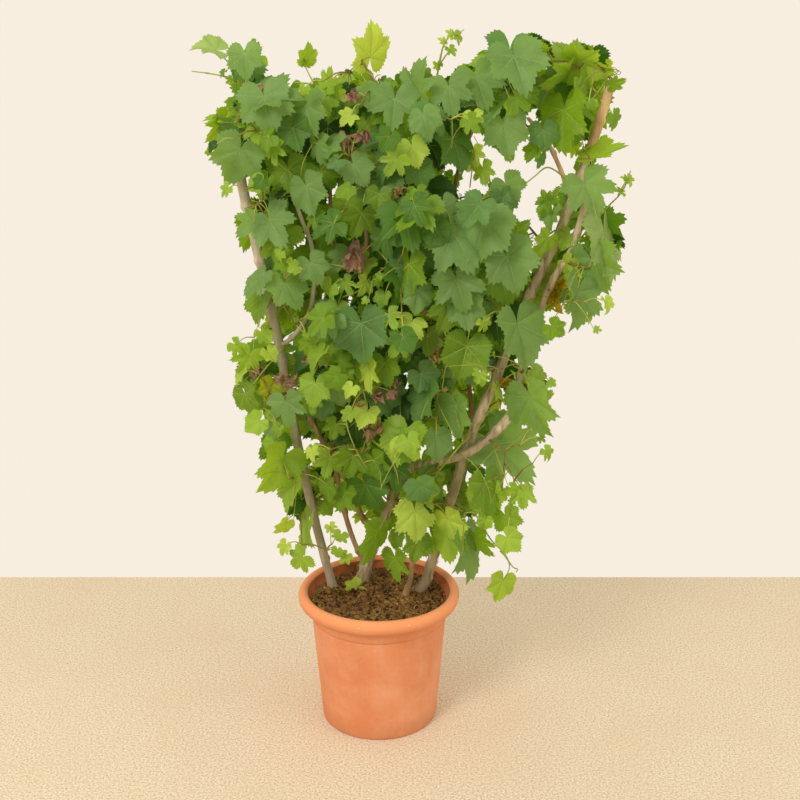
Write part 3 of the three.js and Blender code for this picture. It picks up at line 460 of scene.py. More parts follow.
class Look:
    """A material with its nodes close at hand."""

    def __init__(self, name, roughness, specular=0.3):
        self.made = bpy.data.materials.new(name)
        self.made.use_nodes = True
        self.nodes = self.made.node_tree.nodes
        self.links = self.made.node_tree.links
        self.main = self.nodes["Principled BSDF"]
        self.main.inputs["Roughness"].default_value = roughness
        self.main.inputs["Specular IOR Level"].default_value = specular
        self.place = self.nodes.new("ShaderNodeTexCoord").outputs["Object"]

    def fill(self, node, values):
        """Sets each socket to its number or colour, or links it to the output that is given."""
        for socket, value in values.items():
            if isinstance(value, (int, float, tuple)):
                node.inputs[socket].default_value = value
            else:
                self.links.new(value, node.inputs[socket])

    def stretched(self, x, y, z):
        node = self.nodes.new("ShaderNodeMapping")
        self.fill(node, {"Scale": (x, y, z), "Vector": self.place})
        return node.outputs["Vector"]

    def noise(self, scale, detail=4, rough=0.55, source=None):
        """A cloudy pattern: scale and detail say how fine it is, rough how hard its edges are."""
        node = self.nodes.new("ShaderNodeTexNoise")
        self.fill(node, {"Scale": scale, "Detail": detail, "Roughness": rough,
                         "Vector": source or self.place})
        return node.outputs[0]

    def ramp(self, value, stops):
        node = self.nodes.new("ShaderNodeValToRGB")
        for _ in stops[2:]:
            node.color_ramp.elements.new(0.5)
        for element, (place, colour) in zip(node.color_ramp.elements, stops):
            element.position = place
            element.color = colour
        self.links.new(value, node.inputs["Fac"])
        return node.outputs["Color"]

    def mask(self, value, low, high):
        return self.ramp(value, [(low, (0, 0, 0, 1)), (high, (1, 1, 1, 1))])

    def over(self, share, below, above):
        node = self.nodes.new("ShaderNodeMix")
        node.data_type = "RGBA"
        self.fill(node, {0: share, 6: below, 7: above})
        return node.outputs[2]

    def times(self, a, b):
        node = self.nodes.new("ShaderNodeMath")
        node.operation = "MULTIPLY"
        self.fill(node, {0: a, 1: b})
        return node.outputs[0]

    def by_height(self, low, high):
        """A share that runs from 0 at one height to 1 at another, both in metres."""
        parts = self.nodes.new("ShaderNodeSeparateXYZ")
        self.fill(parts, {0: self.place})
        node = self.nodes.new("ShaderNodeMapRange")
        self.fill(node, {"From Min": low, "From Max": high, "Value": parts.outputs["Z"]})
        return node.outputs["Result"]

    def colour(self, value):
        self.links.new(value, self.main.inputs["Base Color"])

    def bump(self, value, strength, distance):
        node = self.nodes.new("ShaderNodeBump")
        self.fill(node, {"Strength": strength, "Distance": distance, "Height": value})
        self.links.new(node.outputs["Normal"], self.main.inputs["Normal"])

    def glow(self, colour, share):
        """Lets light through from behind, as a thin leaf does."""
        lit = self.nodes.new("ShaderNodeBsdfTranslucent")
        self.fill(lit, {"Color": colour})
        both = self.nodes.new("ShaderNodeMixShader")
        self.fill(both, {0: share, 1: self.main.outputs[0], 2: lit.outputs[0]})
        self.links.new(both.outputs[0], self.nodes["Material Output"].inputs["Surface"])


def leaf_look(name, front, through, share, roughness):
    look = Look(name, roughness, 0.35)
    tone = look.ramp(look.noise(22, 3), [(0.3, shaded(front, 0.8)), (0.52, front),
                                         (0.75, shaded(front, 1.18))])
    specks = look.mask(look.noise(150, 3, 0.6), 0.5, 0.7)
    look.colour(look.over(look.times(specks, 0.5), tone, shaded(front, 1.22)))
    look.bump(look.noise(170, 3), 0.3, 0.0016)
    look.glow(through, share)
    return look.made


SOILED = (0.37, 0.285)  # metres: wood takes on the soil's colour from the first height down
SOIL_STAIN = (122, 90, 58)


def bark_look(name, dark, middle, light, along, across):
    """Wood with its grain along it: along and across say how fine the grain is each way."""
    look = Look(name, 0.9, 0.15)
    grain = look.noise(1, 6, 0.6, look.stretched(across, across, along))
    patches = look.noise(16, 4)
    colour = look.ramp(grain, [(0.32, paint(*dark)), (0.5, paint(*middle)), (0.68, paint(*light))])
    colour = look.over(look.mask(patches, 0.45, 0.7), colour, shaded(paint(*middle), 0.75))
    look.colour(look.over(look.times(look.by_height(*SOILED), 0.5), colour, paint(*SOIL_STAIN)))
    look.bump(grain, 0.5, 0.0012)
    return look.made


# The pot.
POT_SIDES = 160
FOOT = {"flat_inset": 2, "lift": 0.3, "turns": (60, 30, 0)}  # how the base rounds into the wall
WALL_ROWS = (12, 6, 26)  # lowest height, how far below the groove the highest lies, and how many
GROOVE = [(-0.3, -3), (-1.6, -0.8), (-1.4, 0.8)]  # out and up from the groove's own place
GROOVE_TOP = 2.4
BAND_ROWS = (8, 3, 5)  # the band between groove and rim: above the one, below the other, how many
ROLL_TURNS = range(-118, 181, 11)  # degrees round the rolled rim
ROLL_INSIDE = 4  # how many of the rim's last points already lie inside
# The inside between rim and soil.
NECK = {"radius": (150.5, 156.5), "height": (280, 290), "shares": (0.7, 0.35, 0)}
INSIDE_HEIGHTS = (277, 262, 240)
# How the clay stands out from a true circle: an oval, dents, and the ridges of throwing.
WAVER = {"oval": 0.5, "dents": 0.25, "climb": 60, "ridges": 0.15, "pitch": 3.1, "ridges_from": 30}
RIM_DIP, RIM_DIP_FROM = 0.4, 290


def lathe(profile, sides):
    """A turned surface from (radius, height) points: its places and triangles."""
    profile = np.array(profile, float)
    turn = turns_round(sides)
    places = np.stack([
        profile[:, None, 0] * np.cos(turn), profile[:, None, 0] * np.sin(turn),
        np.repeat(profile[:, None, 1], sides, axis=1),
    ], axis=2)
    return places, ring_faces(len(profile), sides, capped=False)


def inner_radius(height):
    share = height / POT["body_top"]
    return mix(POT["base_radius"], POT["body_top_radius"], share) - POT["wall"]


def pot_outline():
    """The pot's outside, from its base up over the rolled rim and down the inside."""
    base, foot = POT["base_radius"], POT["foot"]
    groove, groove_height = POT["groove_radius"], POT["groove_height"]
    points = [(0, 0), (base - foot - FOOT["flat_inset"], 0), (base - foot, FOOT["lift"])]
    for turn in np.radians(FOOT["turns"]):
        points.append((base - foot * (1 - math.cos(turn)), foot * (1 - math.sin(turn))))
    slope = (groove - base) / (groove_height - foot)
    low, below, count = WALL_ROWS
    for height in np.linspace(low, groove_height - below, count):
        points.append((base + slope * (height - foot), height))
    points += [(groove + out, groove_height + up) for out, up in GROOVE]
    points.append((groove + POT["groove_step"], groove_height + GROOVE_TOP))
    above, below, count = BAND_ROWS
    for height in np.linspace(groove_height + above, POT["body_top"] - below, count):
        share = (height - groove_height) / (POT["body_top"] - groove_height)
        points.append((mix(groove + POT["groove_step"], POT["body_top_radius"], share), height))
    rim = POT["height"] - POT["rim_half_height"]
    for turn in np.radians(ROLL_TURNS):
        points.append((POT["rim_middle_radius"] + POT["rim_half_width"] * math.cos(turn),
                       rim + POT["rim_half_height"] * math.sin(turn)))
    outside = len(points) - ROLL_INSIDE
    points += [(mix(*NECK["radius"], share), mix(*NECK["height"], share)) for share in NECK["shares"]]
    points += [(inner_radius(height), height) for height in INSIDE_HEIGHTS]
    return points, outside


def waver(turn, height):
    """How far the thrown clay stands out from a true circle."""
    out = WAVER["oval"] * np.sin(2 * turn + 0.6)
    out = out + WAVER["dents"] * np.sin(5 * turn + height / WAVER["climb"])
    out = out + WAVER["ridges"] * np.sin(height / WAVER["pitch"]) * (height > WAVER["ridges_from"])
    return out * np.clip(height / WAVER["climb"], 0, 1)


def rim_dip(turn, height):
    """How far the rim rises or dips round the pot."""
    return RIM_DIP * np.sin(3 * turn + 1) * (height > RIM_DIP_FROM)


def make_pot():
    points, outside = pot_outline()
    places, faces = lathe(points, POT_SIDES)
    radius = np.hypot(places[..., 0], places[..., 1])
    turn = np.arctan2(places[..., 1], places[..., 0])
    height = places[..., 2]
    places[..., :2] *= np.where(radius > 1, 1 + waver(turn, height) / np.maximum(radius, 1), 1)[..., None]
    places[..., 2] += rim_dip(turn, height)
    made = make_piece("pot_body", places.reshape(-1, 3), faces, clay_look())
    made.data.materials.append(stained_clay_look())
    inside = faces.min(axis=1) >= outside * POT_SIDES
    made.data.polygons.foreach_set("material_index", inside.astype(np.int32))
    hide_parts("pot")


# Small chips and scuffs on the rim: degrees round it, degrees over its roll, width and height.
CHIPS = [(-75, 128, 9, 5), (-68, 24, 7, 3), (-103, 16, 9, 2.5), (-121, 66, 5, 2), (-48, 58, 5, 2.5),
         (-86, 84, 4, 2), (35, 60, 7, 3), (120, 30, 6, 3), (170, 100, 5, 3), (-160, 20, 6, 2)]
CHIP_CORNERS, CHIP_UNEVEN = 11, 0.55  # how many corners, and the nearest in shares of the farthest
CHIP_LIFT = 0.3


def make_chips():
    rng = np.random.RandomState(SEEDS["chips"])
    heap = Heap()
    half_height, half_width = POT["rim_half_height"], POT["rim_half_width"]
    for angle, over, wide, high in CHIPS:
        corners = [(0.0, 0.0)]
        for k in range(CHIP_CORNERS):
            t = 2 * math.pi * k / CHIP_CORNERS
            share = rng.uniform(CHIP_UNEVEN, 1)
            corners.append((share * math.cos(t) * wide / 2, share * math.sin(t) * high / 2))
        across, up = np.array(corners).T
        turn = math.radians(angle) + across / POT["rim_middle_radius"]
        tilt = math.radians(over) + up / half_height
        height = POT["height"] - half_height + (half_height + CHIP_LIFT) * np.sin(tilt)
        radius = POT["rim_middle_radius"] + (half_width + CHIP_LIFT) * np.cos(tilt)
        radius = radius + waver(turn, height)
        height = height + rim_dip(turn, height)
        places = np.stack([radius * np.cos(turn), radius * np.sin(turn), height], axis=1)
        fan = [(0, k + 1, (k + 1) % CHIP_CORNERS + 1) for k in range(CHIP_CORNERS)]
        heap.add(places, np.array(fan))
    look = Look("chip", 0.9, 0.2)
    look.colour(look.ramp(look.noise(90, 3), [(0.35, paint(226, 178, 140)), (0.6, paint(244, 222, 196))]))
    heap.piece("rim_chips", look.made, "clay")


# Heights on the pot, in metres, between which a tone of its clay comes in; the lighter tone on the rim's
# top is a painted highlight.
BELOW_RIM, RIM_HIGHLIGHT, NEAR_FLOOR = (0.285, 0.262), (0.282, 0.3), (0.05, 0.0)


def clay_look():
    look = Look("clay", 0.72, 0.3)
    broad = look.noise(7, 5, 0.6)
    fine = look.noise(60, 5, 0.65)
    chalk = look.noise(13, 8, 0.72)
    streaks = look.noise(1, 4, 0.6, look.stretched(22, 22, 3))
    colour = look.ramp(broad, [(0.3, paint(215, 133, 90)), (0.5, paint(221, 141, 96)),
                               (0.72, paint(227, 149, 104))])
    pale = paint(234, 180, 146)
    below_rim = look.by_height(*BELOW_RIM)
    chalky = look.times(look.mask(chalk, 0.44, 0.68), below_rim)
    colour = look.over(look.times(chalky, 0.34), colour, pale)
    colour = look.over(look.times(look.mask(streaks, 0.5, 0.75), look.times(below_rim, 0.22)), colour, pale)
    colour = look.over(look.times(look.mask(fine, 0.56, 0.72), 0.2), colour, paint(196, 100, 56))
    # Painted highlight: the rim's top is made lighter, as where the key light falls on it.
    colour = look.over(look.times(look.by_height(*RIM_HIGHLIGHT), 0.5), colour, paint(244, 163, 107))
    low = look.times(look.by_height(*NEAR_FLOOR), look.mask(broad, 0.3, 0.6))
    look.colour(look.over(look.times(low, 0.55), colour, paint(176, 112, 72)))
    look.bump(look.over(0.5, fine, chalk), 0.18, 0.0012)
    return look.made


def stained_clay_look():
    look = Look("clay_stained", 0.85, 0.2)
    stain = look.noise(18, 6, 0.65)
    look.colour(look.ramp(stain, [(0.35, paint(120, 74, 42)), (0.5, paint(176, 102, 60)),
                                  (0.7, paint(206, 122, 74))]))
    look.bump(stain, 0.3, 0.002)
    return look.made


# The soil.
SOIL_RADIUS = 152.6
SOIL_RINGS, SOIL_SPOKES = 74, 260
OCTAVES, WAVES = 4, 5  # an uneven surface: how many sets of waves, each finer, and waves in a set
PITCHES = (0.7, 1.4)  # a wave's length, in shares of the set's spread
BROAD_LUMPS, FINE_LUMPS = (90, 3, 3.0), (26, 4, 4.5)  # spread, seed and height
SOIL_SUNK = 4  # how far the hollows lie below the soil's level
FLAT_EDGE, EDGE_RELIEF = 12, 0.35  # near the wall the soil keeps only this share of its relief
MOUND_HEIGHT, MOUND_SPREAD = 7, 30
MOUNDS = ((-106, 42), (85, 17), (-43, 68), (58, -3), (20, 20))  # round the stems' feet
SKIRT = ((0.985, 0.985, 1), (0, 0, 22))  # the soil's edge drawn in and down


def rough(x, y, spread, seed):
    """A smooth uneven height over the plane, from a few crossing waves."""
    rng = np.random.RandomState(seed)
    total = np.zeros_like(x)
    for octave in range(OCTAVES):
        for _ in range(WAVES):
            turn = rng.uniform(0, 2 * math.pi)
            pitch = spread / 2**octave * rng.uniform(*PITCHES)
            wave = (x * math.cos(turn) + y * math.sin(turn)) / pitch * 2 * math.pi
            total += np.sin(wave + rng.uniform(0, 7)) / 2**octave
    return total / OCTAVES


def soil_height(x, y):
    """The soil's top: clods, mounded a little round the stems."""
    (broad, seed, high), (fine, fine_seed, fine_high) = BROAD_LUMPS, FINE_LUMPS
    lumps = rough(x, y, broad, seed) * high + np.abs(rough(x, y, fine, fine_seed)) * fine_high
    edge = np.clip((SOIL_RADIUS - np.hypot(x, y)) / FLAT_EDGE, 0, 1)
    mound = sum(MOUND_HEIGHT * np.exp(-((x - a) ** 2 + (y - b) ** 2) / MOUND_SPREAD**2)
                for a, b in MOUNDS)
    return SOIL_LEVEL - SOIL_SUNK + (lumps + mound) * mix(EDGE_RELIEF, 1, edge)


def make_soil():
    radius = SOIL_RADIUS * np.linspace(0, 1, SOIL_RINGS + 1)[1:]
    turn = turns_round(SOIL_SPOKES)
    x = (radius[:, None] * np.cos(turn)).ravel()
    y = (radius[:, None] * np.sin(turn)).ravel()
    places = np.stack([x, y, soil_height(x, y)], axis=1)
    skirt = places[-SOIL_SPOKES:] * np.array(SKIRT[0]) - np.array(SKIRT[1])
    centre = np.array([[0, 0, float(soil_height(np.zeros(1), np.zeros(1))[0])]])
    places = np.vstack([places, skirt, centre])
    faces = []
    for k in range(SOIL_SPOKES):
        n = (k + 1) % SOIL_SPOKES
        base = np.arange(SOIL_RINGS) * SOIL_SPOKES
        faces.append(np.stack([base + k, base + k + SOIL_SPOKES, base + n + SOIL_SPOKES], axis=1))
        faces.append(np.stack([base + k, base + n + SOIL_SPOKES, base + n], axis=1))
        faces.append(np.array([[len(places) - 1, k, n]]))
    made = make_piece("soil_top", places, np.vstack(faces), soil_look())
    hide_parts("soil")
    make_crumbs()


def soil_look():
    look = Look("soil", 0.97, 0.1)
    grain = look.noise(150, 6, 0.7)
    patches = look.noise(32, 4, 0.6)
    colour = look.ramp(grain, [(0.34, paint(68, 48, 24)), (0.52, paint(152, 113, 60)),
                               (0.7, paint(208, 172, 108))])
    damp = look.times(look.mask(patches, 0.42, 0.62), 0.6)
    look.colour(look.over(damp, colour, paint(86, 60, 34)))
    look.bump(grain, 0.8, 0.003)
    return look.made


# What lies loose on the soil: how many, smallest and largest, thinnest and thickest in shares of
# the length, how high it lies in shares of its size, and its light and dark tone.
CRUMBS = {
    "crumb": (3200, (0.8, 2.4), (0.5, 1), 0.12, (98, 68, 38), (60, 40, 22)),
    "clod": (520, (2.6, 8), (0.6, 1), 0.12, (86, 60, 34), (50, 33, 18)),
    "fibre": (900, (4, 11), (0.06, 0.16), 0.12, (170, 132, 84), (112, 80, 46)),
    "lump": (64, (12, 30), (0.6, 0.9), -0.14, (146, 104, 64), (74, 50, 29)),
}
CRUMB_UNEVEN, CRUMB_EDGE, FIBRE_FLAT = 0.55, 4, 0.35
BLOCK = np.array([(-1, -1, -1), (1, -1, -1), (1, 1, -1), (-1, 1, -1),
                  (-1, -1, 1), (1, -1, 1), (1, 1, 1), (-1, 1, 1)], float)
BLOCK_FACES = np.array([(0, 2, 1), (0, 3, 2), (4, 5, 6), (4, 6, 7), (0, 1, 5), (0, 5, 4),
                        (1, 2, 6), (1, 6, 5), (2, 3, 7), (2, 7, 6), (3, 0, 4), (3, 4, 7)])


def spins(rng, count):
    """Random rotations, as one matrix each."""
    turns = rng.normal(size=(count, 4))
    turns /= np.linalg.norm(turns, axis=1)[:, None]
    w, x, y, z = turns.T
    return np.stack([
        np.stack([1 - 2 * (y * y + z * z), 2 * (x * y - z * w), 2 * (x * z + y * w)], axis=1),
        np.stack([2 * (x * y + z * w), 1 - 2 * (x * x + z * z), 2 * (y * z - x * w)], axis=1),
        np.stack([2 * (x * z - y * w), 2 * (y * z + x * w), 1 - 2 * (x * x + y * y)], axis=1),
    ], axis=1)


def make_crumbs():
    """Crumbs, clods, fibres and lumps that lie loose on the soil."""
    rng = np.random.RandomState(SEEDS["crumbs"])
    for kind, (count, (small, large), (thin, thick), rise, light, dark) in CRUMBS.items():
        radius = (SOIL_RADIUS - CRUMB_EDGE) * np.sqrt(rng.uniform(0, 1, count))
        turn = rng.uniform(0, 2 * math.pi, count)
        x, y = radius * np.cos(turn), radius * np.sin(turn)
        size = small + (large - small) * rng.uniform(0, 1, count) ** 2
        shape = BLOCK[None] * rng.uniform(CRUMB_UNEVEN, 1.0, (count, 8, 3))
        widths = np.stack([np.ones(count), rng.uniform(thin, thick, count),
                           rng.uniform(thin, thick, count)], axis=1)
        shape = shape * widths[:, None] * (size / 2)[:, None, None]
        turned = np.einsum("nij,nkj->nki", spins(rng, count), shape)
        if kind == "fibre":
            turned[..., 2] *= FIBRE_FLAT
        base = np.stack([x, y, soil_height(x, y) + size * rise], axis=1)
        places = (turned + base[:, None]).reshape(-1, 3)
        faces = repeated(BLOCK_FACES, len(BLOCK), count)
        look = crumb_look(kind, light, dark)
        make_piece(f"soil_{kind}s", places, faces, look, smooth=kind != "fibre")


def crumb_look(name, light, dark):
    look = Look(name, 0.95, 0.1)
    grain = look.noise(90, 4, 0.7)
    look.colour(look.ramp(grain, [(0.35, paint(*dark)), (0.65, paint(*light))]))
    look.bump(grain, 0.6, 0.001)
    return look.made


# Stems, arms and canes.
# Each limb's bark: how deep its furrows are, how lumpy it is, the spacing and the swell of its
# joints, and its look.
BARK = {
    "trunk_left": (0.7, 0.07, 118, 0.16, "grey"),
    "trunk_right": (1.3, 0.12, 96, 0.16, "old"),
    "trunk_centre": (1.6, 0.14, 90, 0.14, "old"),
    "stem_thin": (0.5, 0.08, 60, 0.2, "smooth"),
    "arm_right": (1.1, 0.1, 88, 0.18, "old"),
    "cane_left_low": (0.35, 0.05, 72, 0.3, "cane"),
    "cane_left_upper": (0.35, 0.05, 78, 0.3, "grey"),
    "cane_mid_left": (0.35, 0.05, 84, 0.3, "cane"),
    "cane_centre": (0.35, 0.05, 80, 0.3, "cane"),
    "cane_inner_right": (0.3, 0.05, 76, 0.3, "cane"),
    "cane_top_right": (0.3, 0.05, 64, 0.35, "smooth"),
}
BARK_LOOKS = {  # dark, middle and light tone, and how fine the grain is along and across
    "grey": ((138, 126, 106), (188, 175, 151), (214, 204, 180), 5, 60),
    "old": ((132, 112, 84), (196, 176, 144), (226, 210, 182), 9, 95),
    "cane": ((112, 86, 56), (160, 130, 92), (190, 164, 124), 6, 80),
    "smooth": ((170, 132, 90), (208, 170, 126), (222, 192, 152), 4, 60),
}
# The foot and the top of a limb's bark, in shares of its solid's radius.
SLIM = {"trunk_left": (0.78, 1.12), "trunk_right": (0.84, 1.15)}
SMOOTH_FROM, PALE_FROM = 1215, 1245  # heights from which the right stem is a smooth, pale young cane
SMOOTH_SHARE = 0.25  # of the furrows' depth
RING_STEP = 3.2
BARK_SEED, BARK_SEED_STEP = 5, 13
CURVE_POINTS = 160  # on a limb's curve, before it is spaced
ROOT_DEPTH = 14  # how far bark reaches into the soil
THICK_FROM, THICK_SIDES, THIN_SIDES = 9, 30, 16
# The bark's relief: how fine it is round the limb, how long along it, and its share of the seed.
LUMPS, FURROWS, GRAIN = (0.9, 55, 1), (3.4, 38, 3), (7, 17, 5)
RIDGE_MEAN, GRAIN_SHARE = 0.8, 0.5
JOINT_FIRST, JOINT_LAST = 0.6, 8  # the first joint, in spacings, and the last one's distance to the tip
JOINT_SWAY, JOINT_PITCH, JOINT_SPREAD, JOINT_LEAN = 12, 7.3, 6.5, 0.8
TIP_LENGTH, TIP_ROUND = 1.2, 0.9  # the rounded tip, in shares of its radius


def limb_radius(name, share, height):
    (root, tip), flare, _ = LIMBS[name]
    radius = mix(root, tip, share)
    above = np.clip(1 - (height - SOIL_LEVEL) / FLARE_HEIGHT, 0, None)
    return radius * mix(1, flare, above**2) if flare else radius


def bark_radius(name, share, height):
    foot, top = SLIM.get(name, (1, 1))
    return limb_radius(name, share, height) * mix(foot, top, share)


def relief(kind, x, y, along, seed):
    fine, length, part = kind
    return noise.noise(Vector((x * fine, y * fine, along / length + seed * part)))


def ridge(kind, x, y, along, seed):
    return 1 - abs(2 * relief(kind, x, y, along, seed)) - RIDGE_MEAN


def limb_mesh(name, seed):
    furrow, lump, joint_step, swell, _ = BARK[name]
    path, along = spaced(curve(LIMBS[name][2], CURVE_POINTS), RING_STEP)
    if LIMBS[name][1]:
        path = np.vstack([path[0] - [0, 0, ROOT_DEPTH], path])
        along = np.concatenate([[-ROOT_DEPTH], along])
    base = bark_radius(name, np.clip(along / along[-1], 0, 1), path[:, 2])
    turn = turns_round(THICK_SIDES if base.max() > THICK_FROM else THIN_SIDES)
    radii = np.empty((len(path), len(turn)))
    for i, (s, radius) in enumerate(zip(along, base)):
        smooth = name == "trunk_right" and path[i][2] > SMOOTH_FROM
        depth = furrow * (SMOOTH_SHARE if smooth else 1)
        for k, t in enumerate(turn):
            spot = (math.cos(t), math.sin(t), s, seed)
            ridges = ridge(FURROWS, *spot) + GRAIN_SHARE * ridge(GRAIN, *spot)
            radii[i, k] = radius * (1 + lump * relief(LUMPS, *spot)) + depth * ridges
    for joint in np.arange(joint_step * JOINT_FIRST, along[-1] - JOINT_LAST, joint_step):
        place = joint + JOINT_SWAY * math.sin(joint * JOINT_PITCH + seed)
        shape = np.exp(-(((along - place) / JOINT_SPREAD) ** 2))
        lean = 1 + JOINT_LEAN * np.cos(turn - joint)
        radii += base[:, None] * swell * shape[:, None] * lean[None]
    end = np.clip((along[-1] - along) / (TIP_LENGTH * base[-1]), 0, 1)
    radii *= np.sqrt(1 - (1 - end[:, None]) ** 2 * TIP_ROUND)
    return tube(path, radii, len(turn))


def make_limbs():
    looks = {kind: bark_look(f"bark_{kind}", *values) for kind, values in BARK_LOOKS.items()}
    for number, name in enumerate(LIMBS):
        places, faces = limb_mesh(name, number * BARK_SEED_STEP + BARK_SEED)
        made = make_piece(f"{name}_bark", places, faces, looks[BARK[name][4]])
        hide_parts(name)
        if name == "trunk_right":
            made.data.materials.append(looks["smooth"])
            high = places[faces[:, 0], 2] > PALE_FROM
            made.data.polygons.foreach_set("material_index", high.astype(np.int32))
    make_flakes(looks["old"])


# Where bark peels in strips: limb, lowest and highest, how many, longest.
PEELING = [("trunk_right", 290, 640, 150, 46), ("trunk_centre", 290, 560, 110, 40),
           ("arm_right", 600, 900, 46, 34), ("trunk_right", 640, 1100, 60, 34),
           ("stem_thin", 290, 420, 20, 24)]
FLAKE_STEP, FLAKE_FEWEST = 4, 3  # between a strip's rows, and how many it has at least
FLAKE_LENGTHS, FLAKE_WIDTHS, FLAKE_LIFTS = (0.4, 1), (0.8, 2.4), (0.5, 4)
FLAT_FLAKE = 0.2  # how much of its lift a third of the strips keeps
FLAKE_CLEAR, FLAKE_ARCH, FLAKE_EDGE = 0.9, 0.5, 0.2
FLAKE_SWAY, FLAKE_TAPER, FLAKE_WIDEST = 0.15, 0.7, 0.8


def flake(start, path, radii, side, up, steps, turn, width, lift):
    """A strip of bark that lifts towards its end: its places, three in each row."""
    rows = []
    for k in range(steps):
        i = min(start + k, len(path) - 1)
        share = k / (steps - 1)
        out = radii[i] + FLAKE_CLEAR + lift * share**2
        t = turn + FLAKE_SWAY * math.sin(3 * share)
        way = side[i] * math.cos(t) + up[i] * math.sin(t)
        across = up[i] * math.cos(t) - side[i] * math.sin(t)
        half = width * (1 - FLAKE_TAPER * abs(2 * share - FLAKE_WIDEST)) / 2 + FLAKE_EDGE
        middle = path[i] + way * out
        rows.append([middle - across * half, middle + way * FLAKE_ARCH, middle + across * half])
    return np.array(rows).reshape(-1, 3)


def make_flakes(look):
    """Strips of bark that lift from the old stems at one end."""
    rng = np.random.RandomState(SEEDS["flakes"])
    heap = Heap()
    for name, low, high, count, longest in PEELING:
        path, along = spaced(curve(LIMBS[name][2], CURVE_POINTS), FLAKE_STEP)
        side, up = frames(path)
        radii = bark_radius(name, along / along[-1], path[:, 2])
        inside = np.nonzero((path[:, 2] > low) & (path[:, 2] < high))[0]
        for _ in range(count):
            start = inside[rng.randint(len(inside))]
            steps = int(max(FLAKE_FEWEST, rng.uniform(*FLAKE_LENGTHS) * longest / FLAKE_STEP))
            turn = rng.uniform(0, 2 * math.pi)
            width = rng.uniform(*FLAKE_WIDTHS)
            lift = rng.uniform(*FLAKE_LIFTS) * rng.choice([1, 1, FLAT_FLAKE])
            places = flake(start, path, radii, side, up, steps, turn, width, lift)
            heap.add(places, strip_faces(steps, 3))
    heap.piece("bark_flakes", look, "bark")


# The pattern of a leaf.
# A leaf's smooth outline on one side: degrees from its tip, and reach in shares of its length.
OUTLINE = [(0, 1.0), (8, 0.95), (17, 0.875), (25, 0.81), (31, 0.78), (38, 0.80), (46, 0.84), (52, 0.86),
           (60, 0.82), (68, 0.755), (75, 0.70), (81, 0.68), (89, 0.695), (97, 0.715), (104, 0.72),
           (114, 0.68), (126, 0.63), (138, 0.59), (148, 0.55), (156, 0.47), (163, 0.33), (170, 0.15),
           (177, 0.03)]
SINUSES = [(31, 9, 1.0), (80, 9, 0.75)]  # degrees, spread and share of the lobes' depth
TEETH = [0, 8, 17, 26, 35, 43.5, 52, 61, 70, 79, 88, 96, 104, 113, 123, 134, 146, 159]
BY_STALK = [(166, 0.98), (172, 0.95), (177, 0.95)]  # the margin's end: degrees and reach
TOOTH, VEIN_TOOTH, OTHER_TOOTH, EVERY_OTHER = 0.045, 1.6, 0.6, 0.5  # a tooth's reach and shares of it
DIP, DIP_PLACE = 0.05, 0.62  # between two teeth
VEINS = [0, 52, 104]
LEAF_KINDS = [  # depth of the notches between lobes, width, size of teeth
    (0.1, 1.0, 1.0), (0.3, 1.04, 1.15), (0.0, 0.97, 0.95), (0.22, 0.93, 1.2), (0.42, 1.0, 1.15),
]
# Main veins, in shares of the leaf: how long they are, how wide, and thinner with each degree.
VEIN_LENGTH, VEIN_WIDTH, VEIN_THINNER = 0.97, 0.0125, 0.00003
# Side veins: first and last place, how many on the middle vein and on others, degrees off,
# their length and how much shorter they get, and on the lowest veins, their offset and width.
BRANCHES = {"places": (0.2, 0.78), "middle": 5, "others": 4, "off": 44, "length": 0.36,
            "shorter": 0.62, "lowest": 0.8, "offset": 0.03, "width": 0.0048}


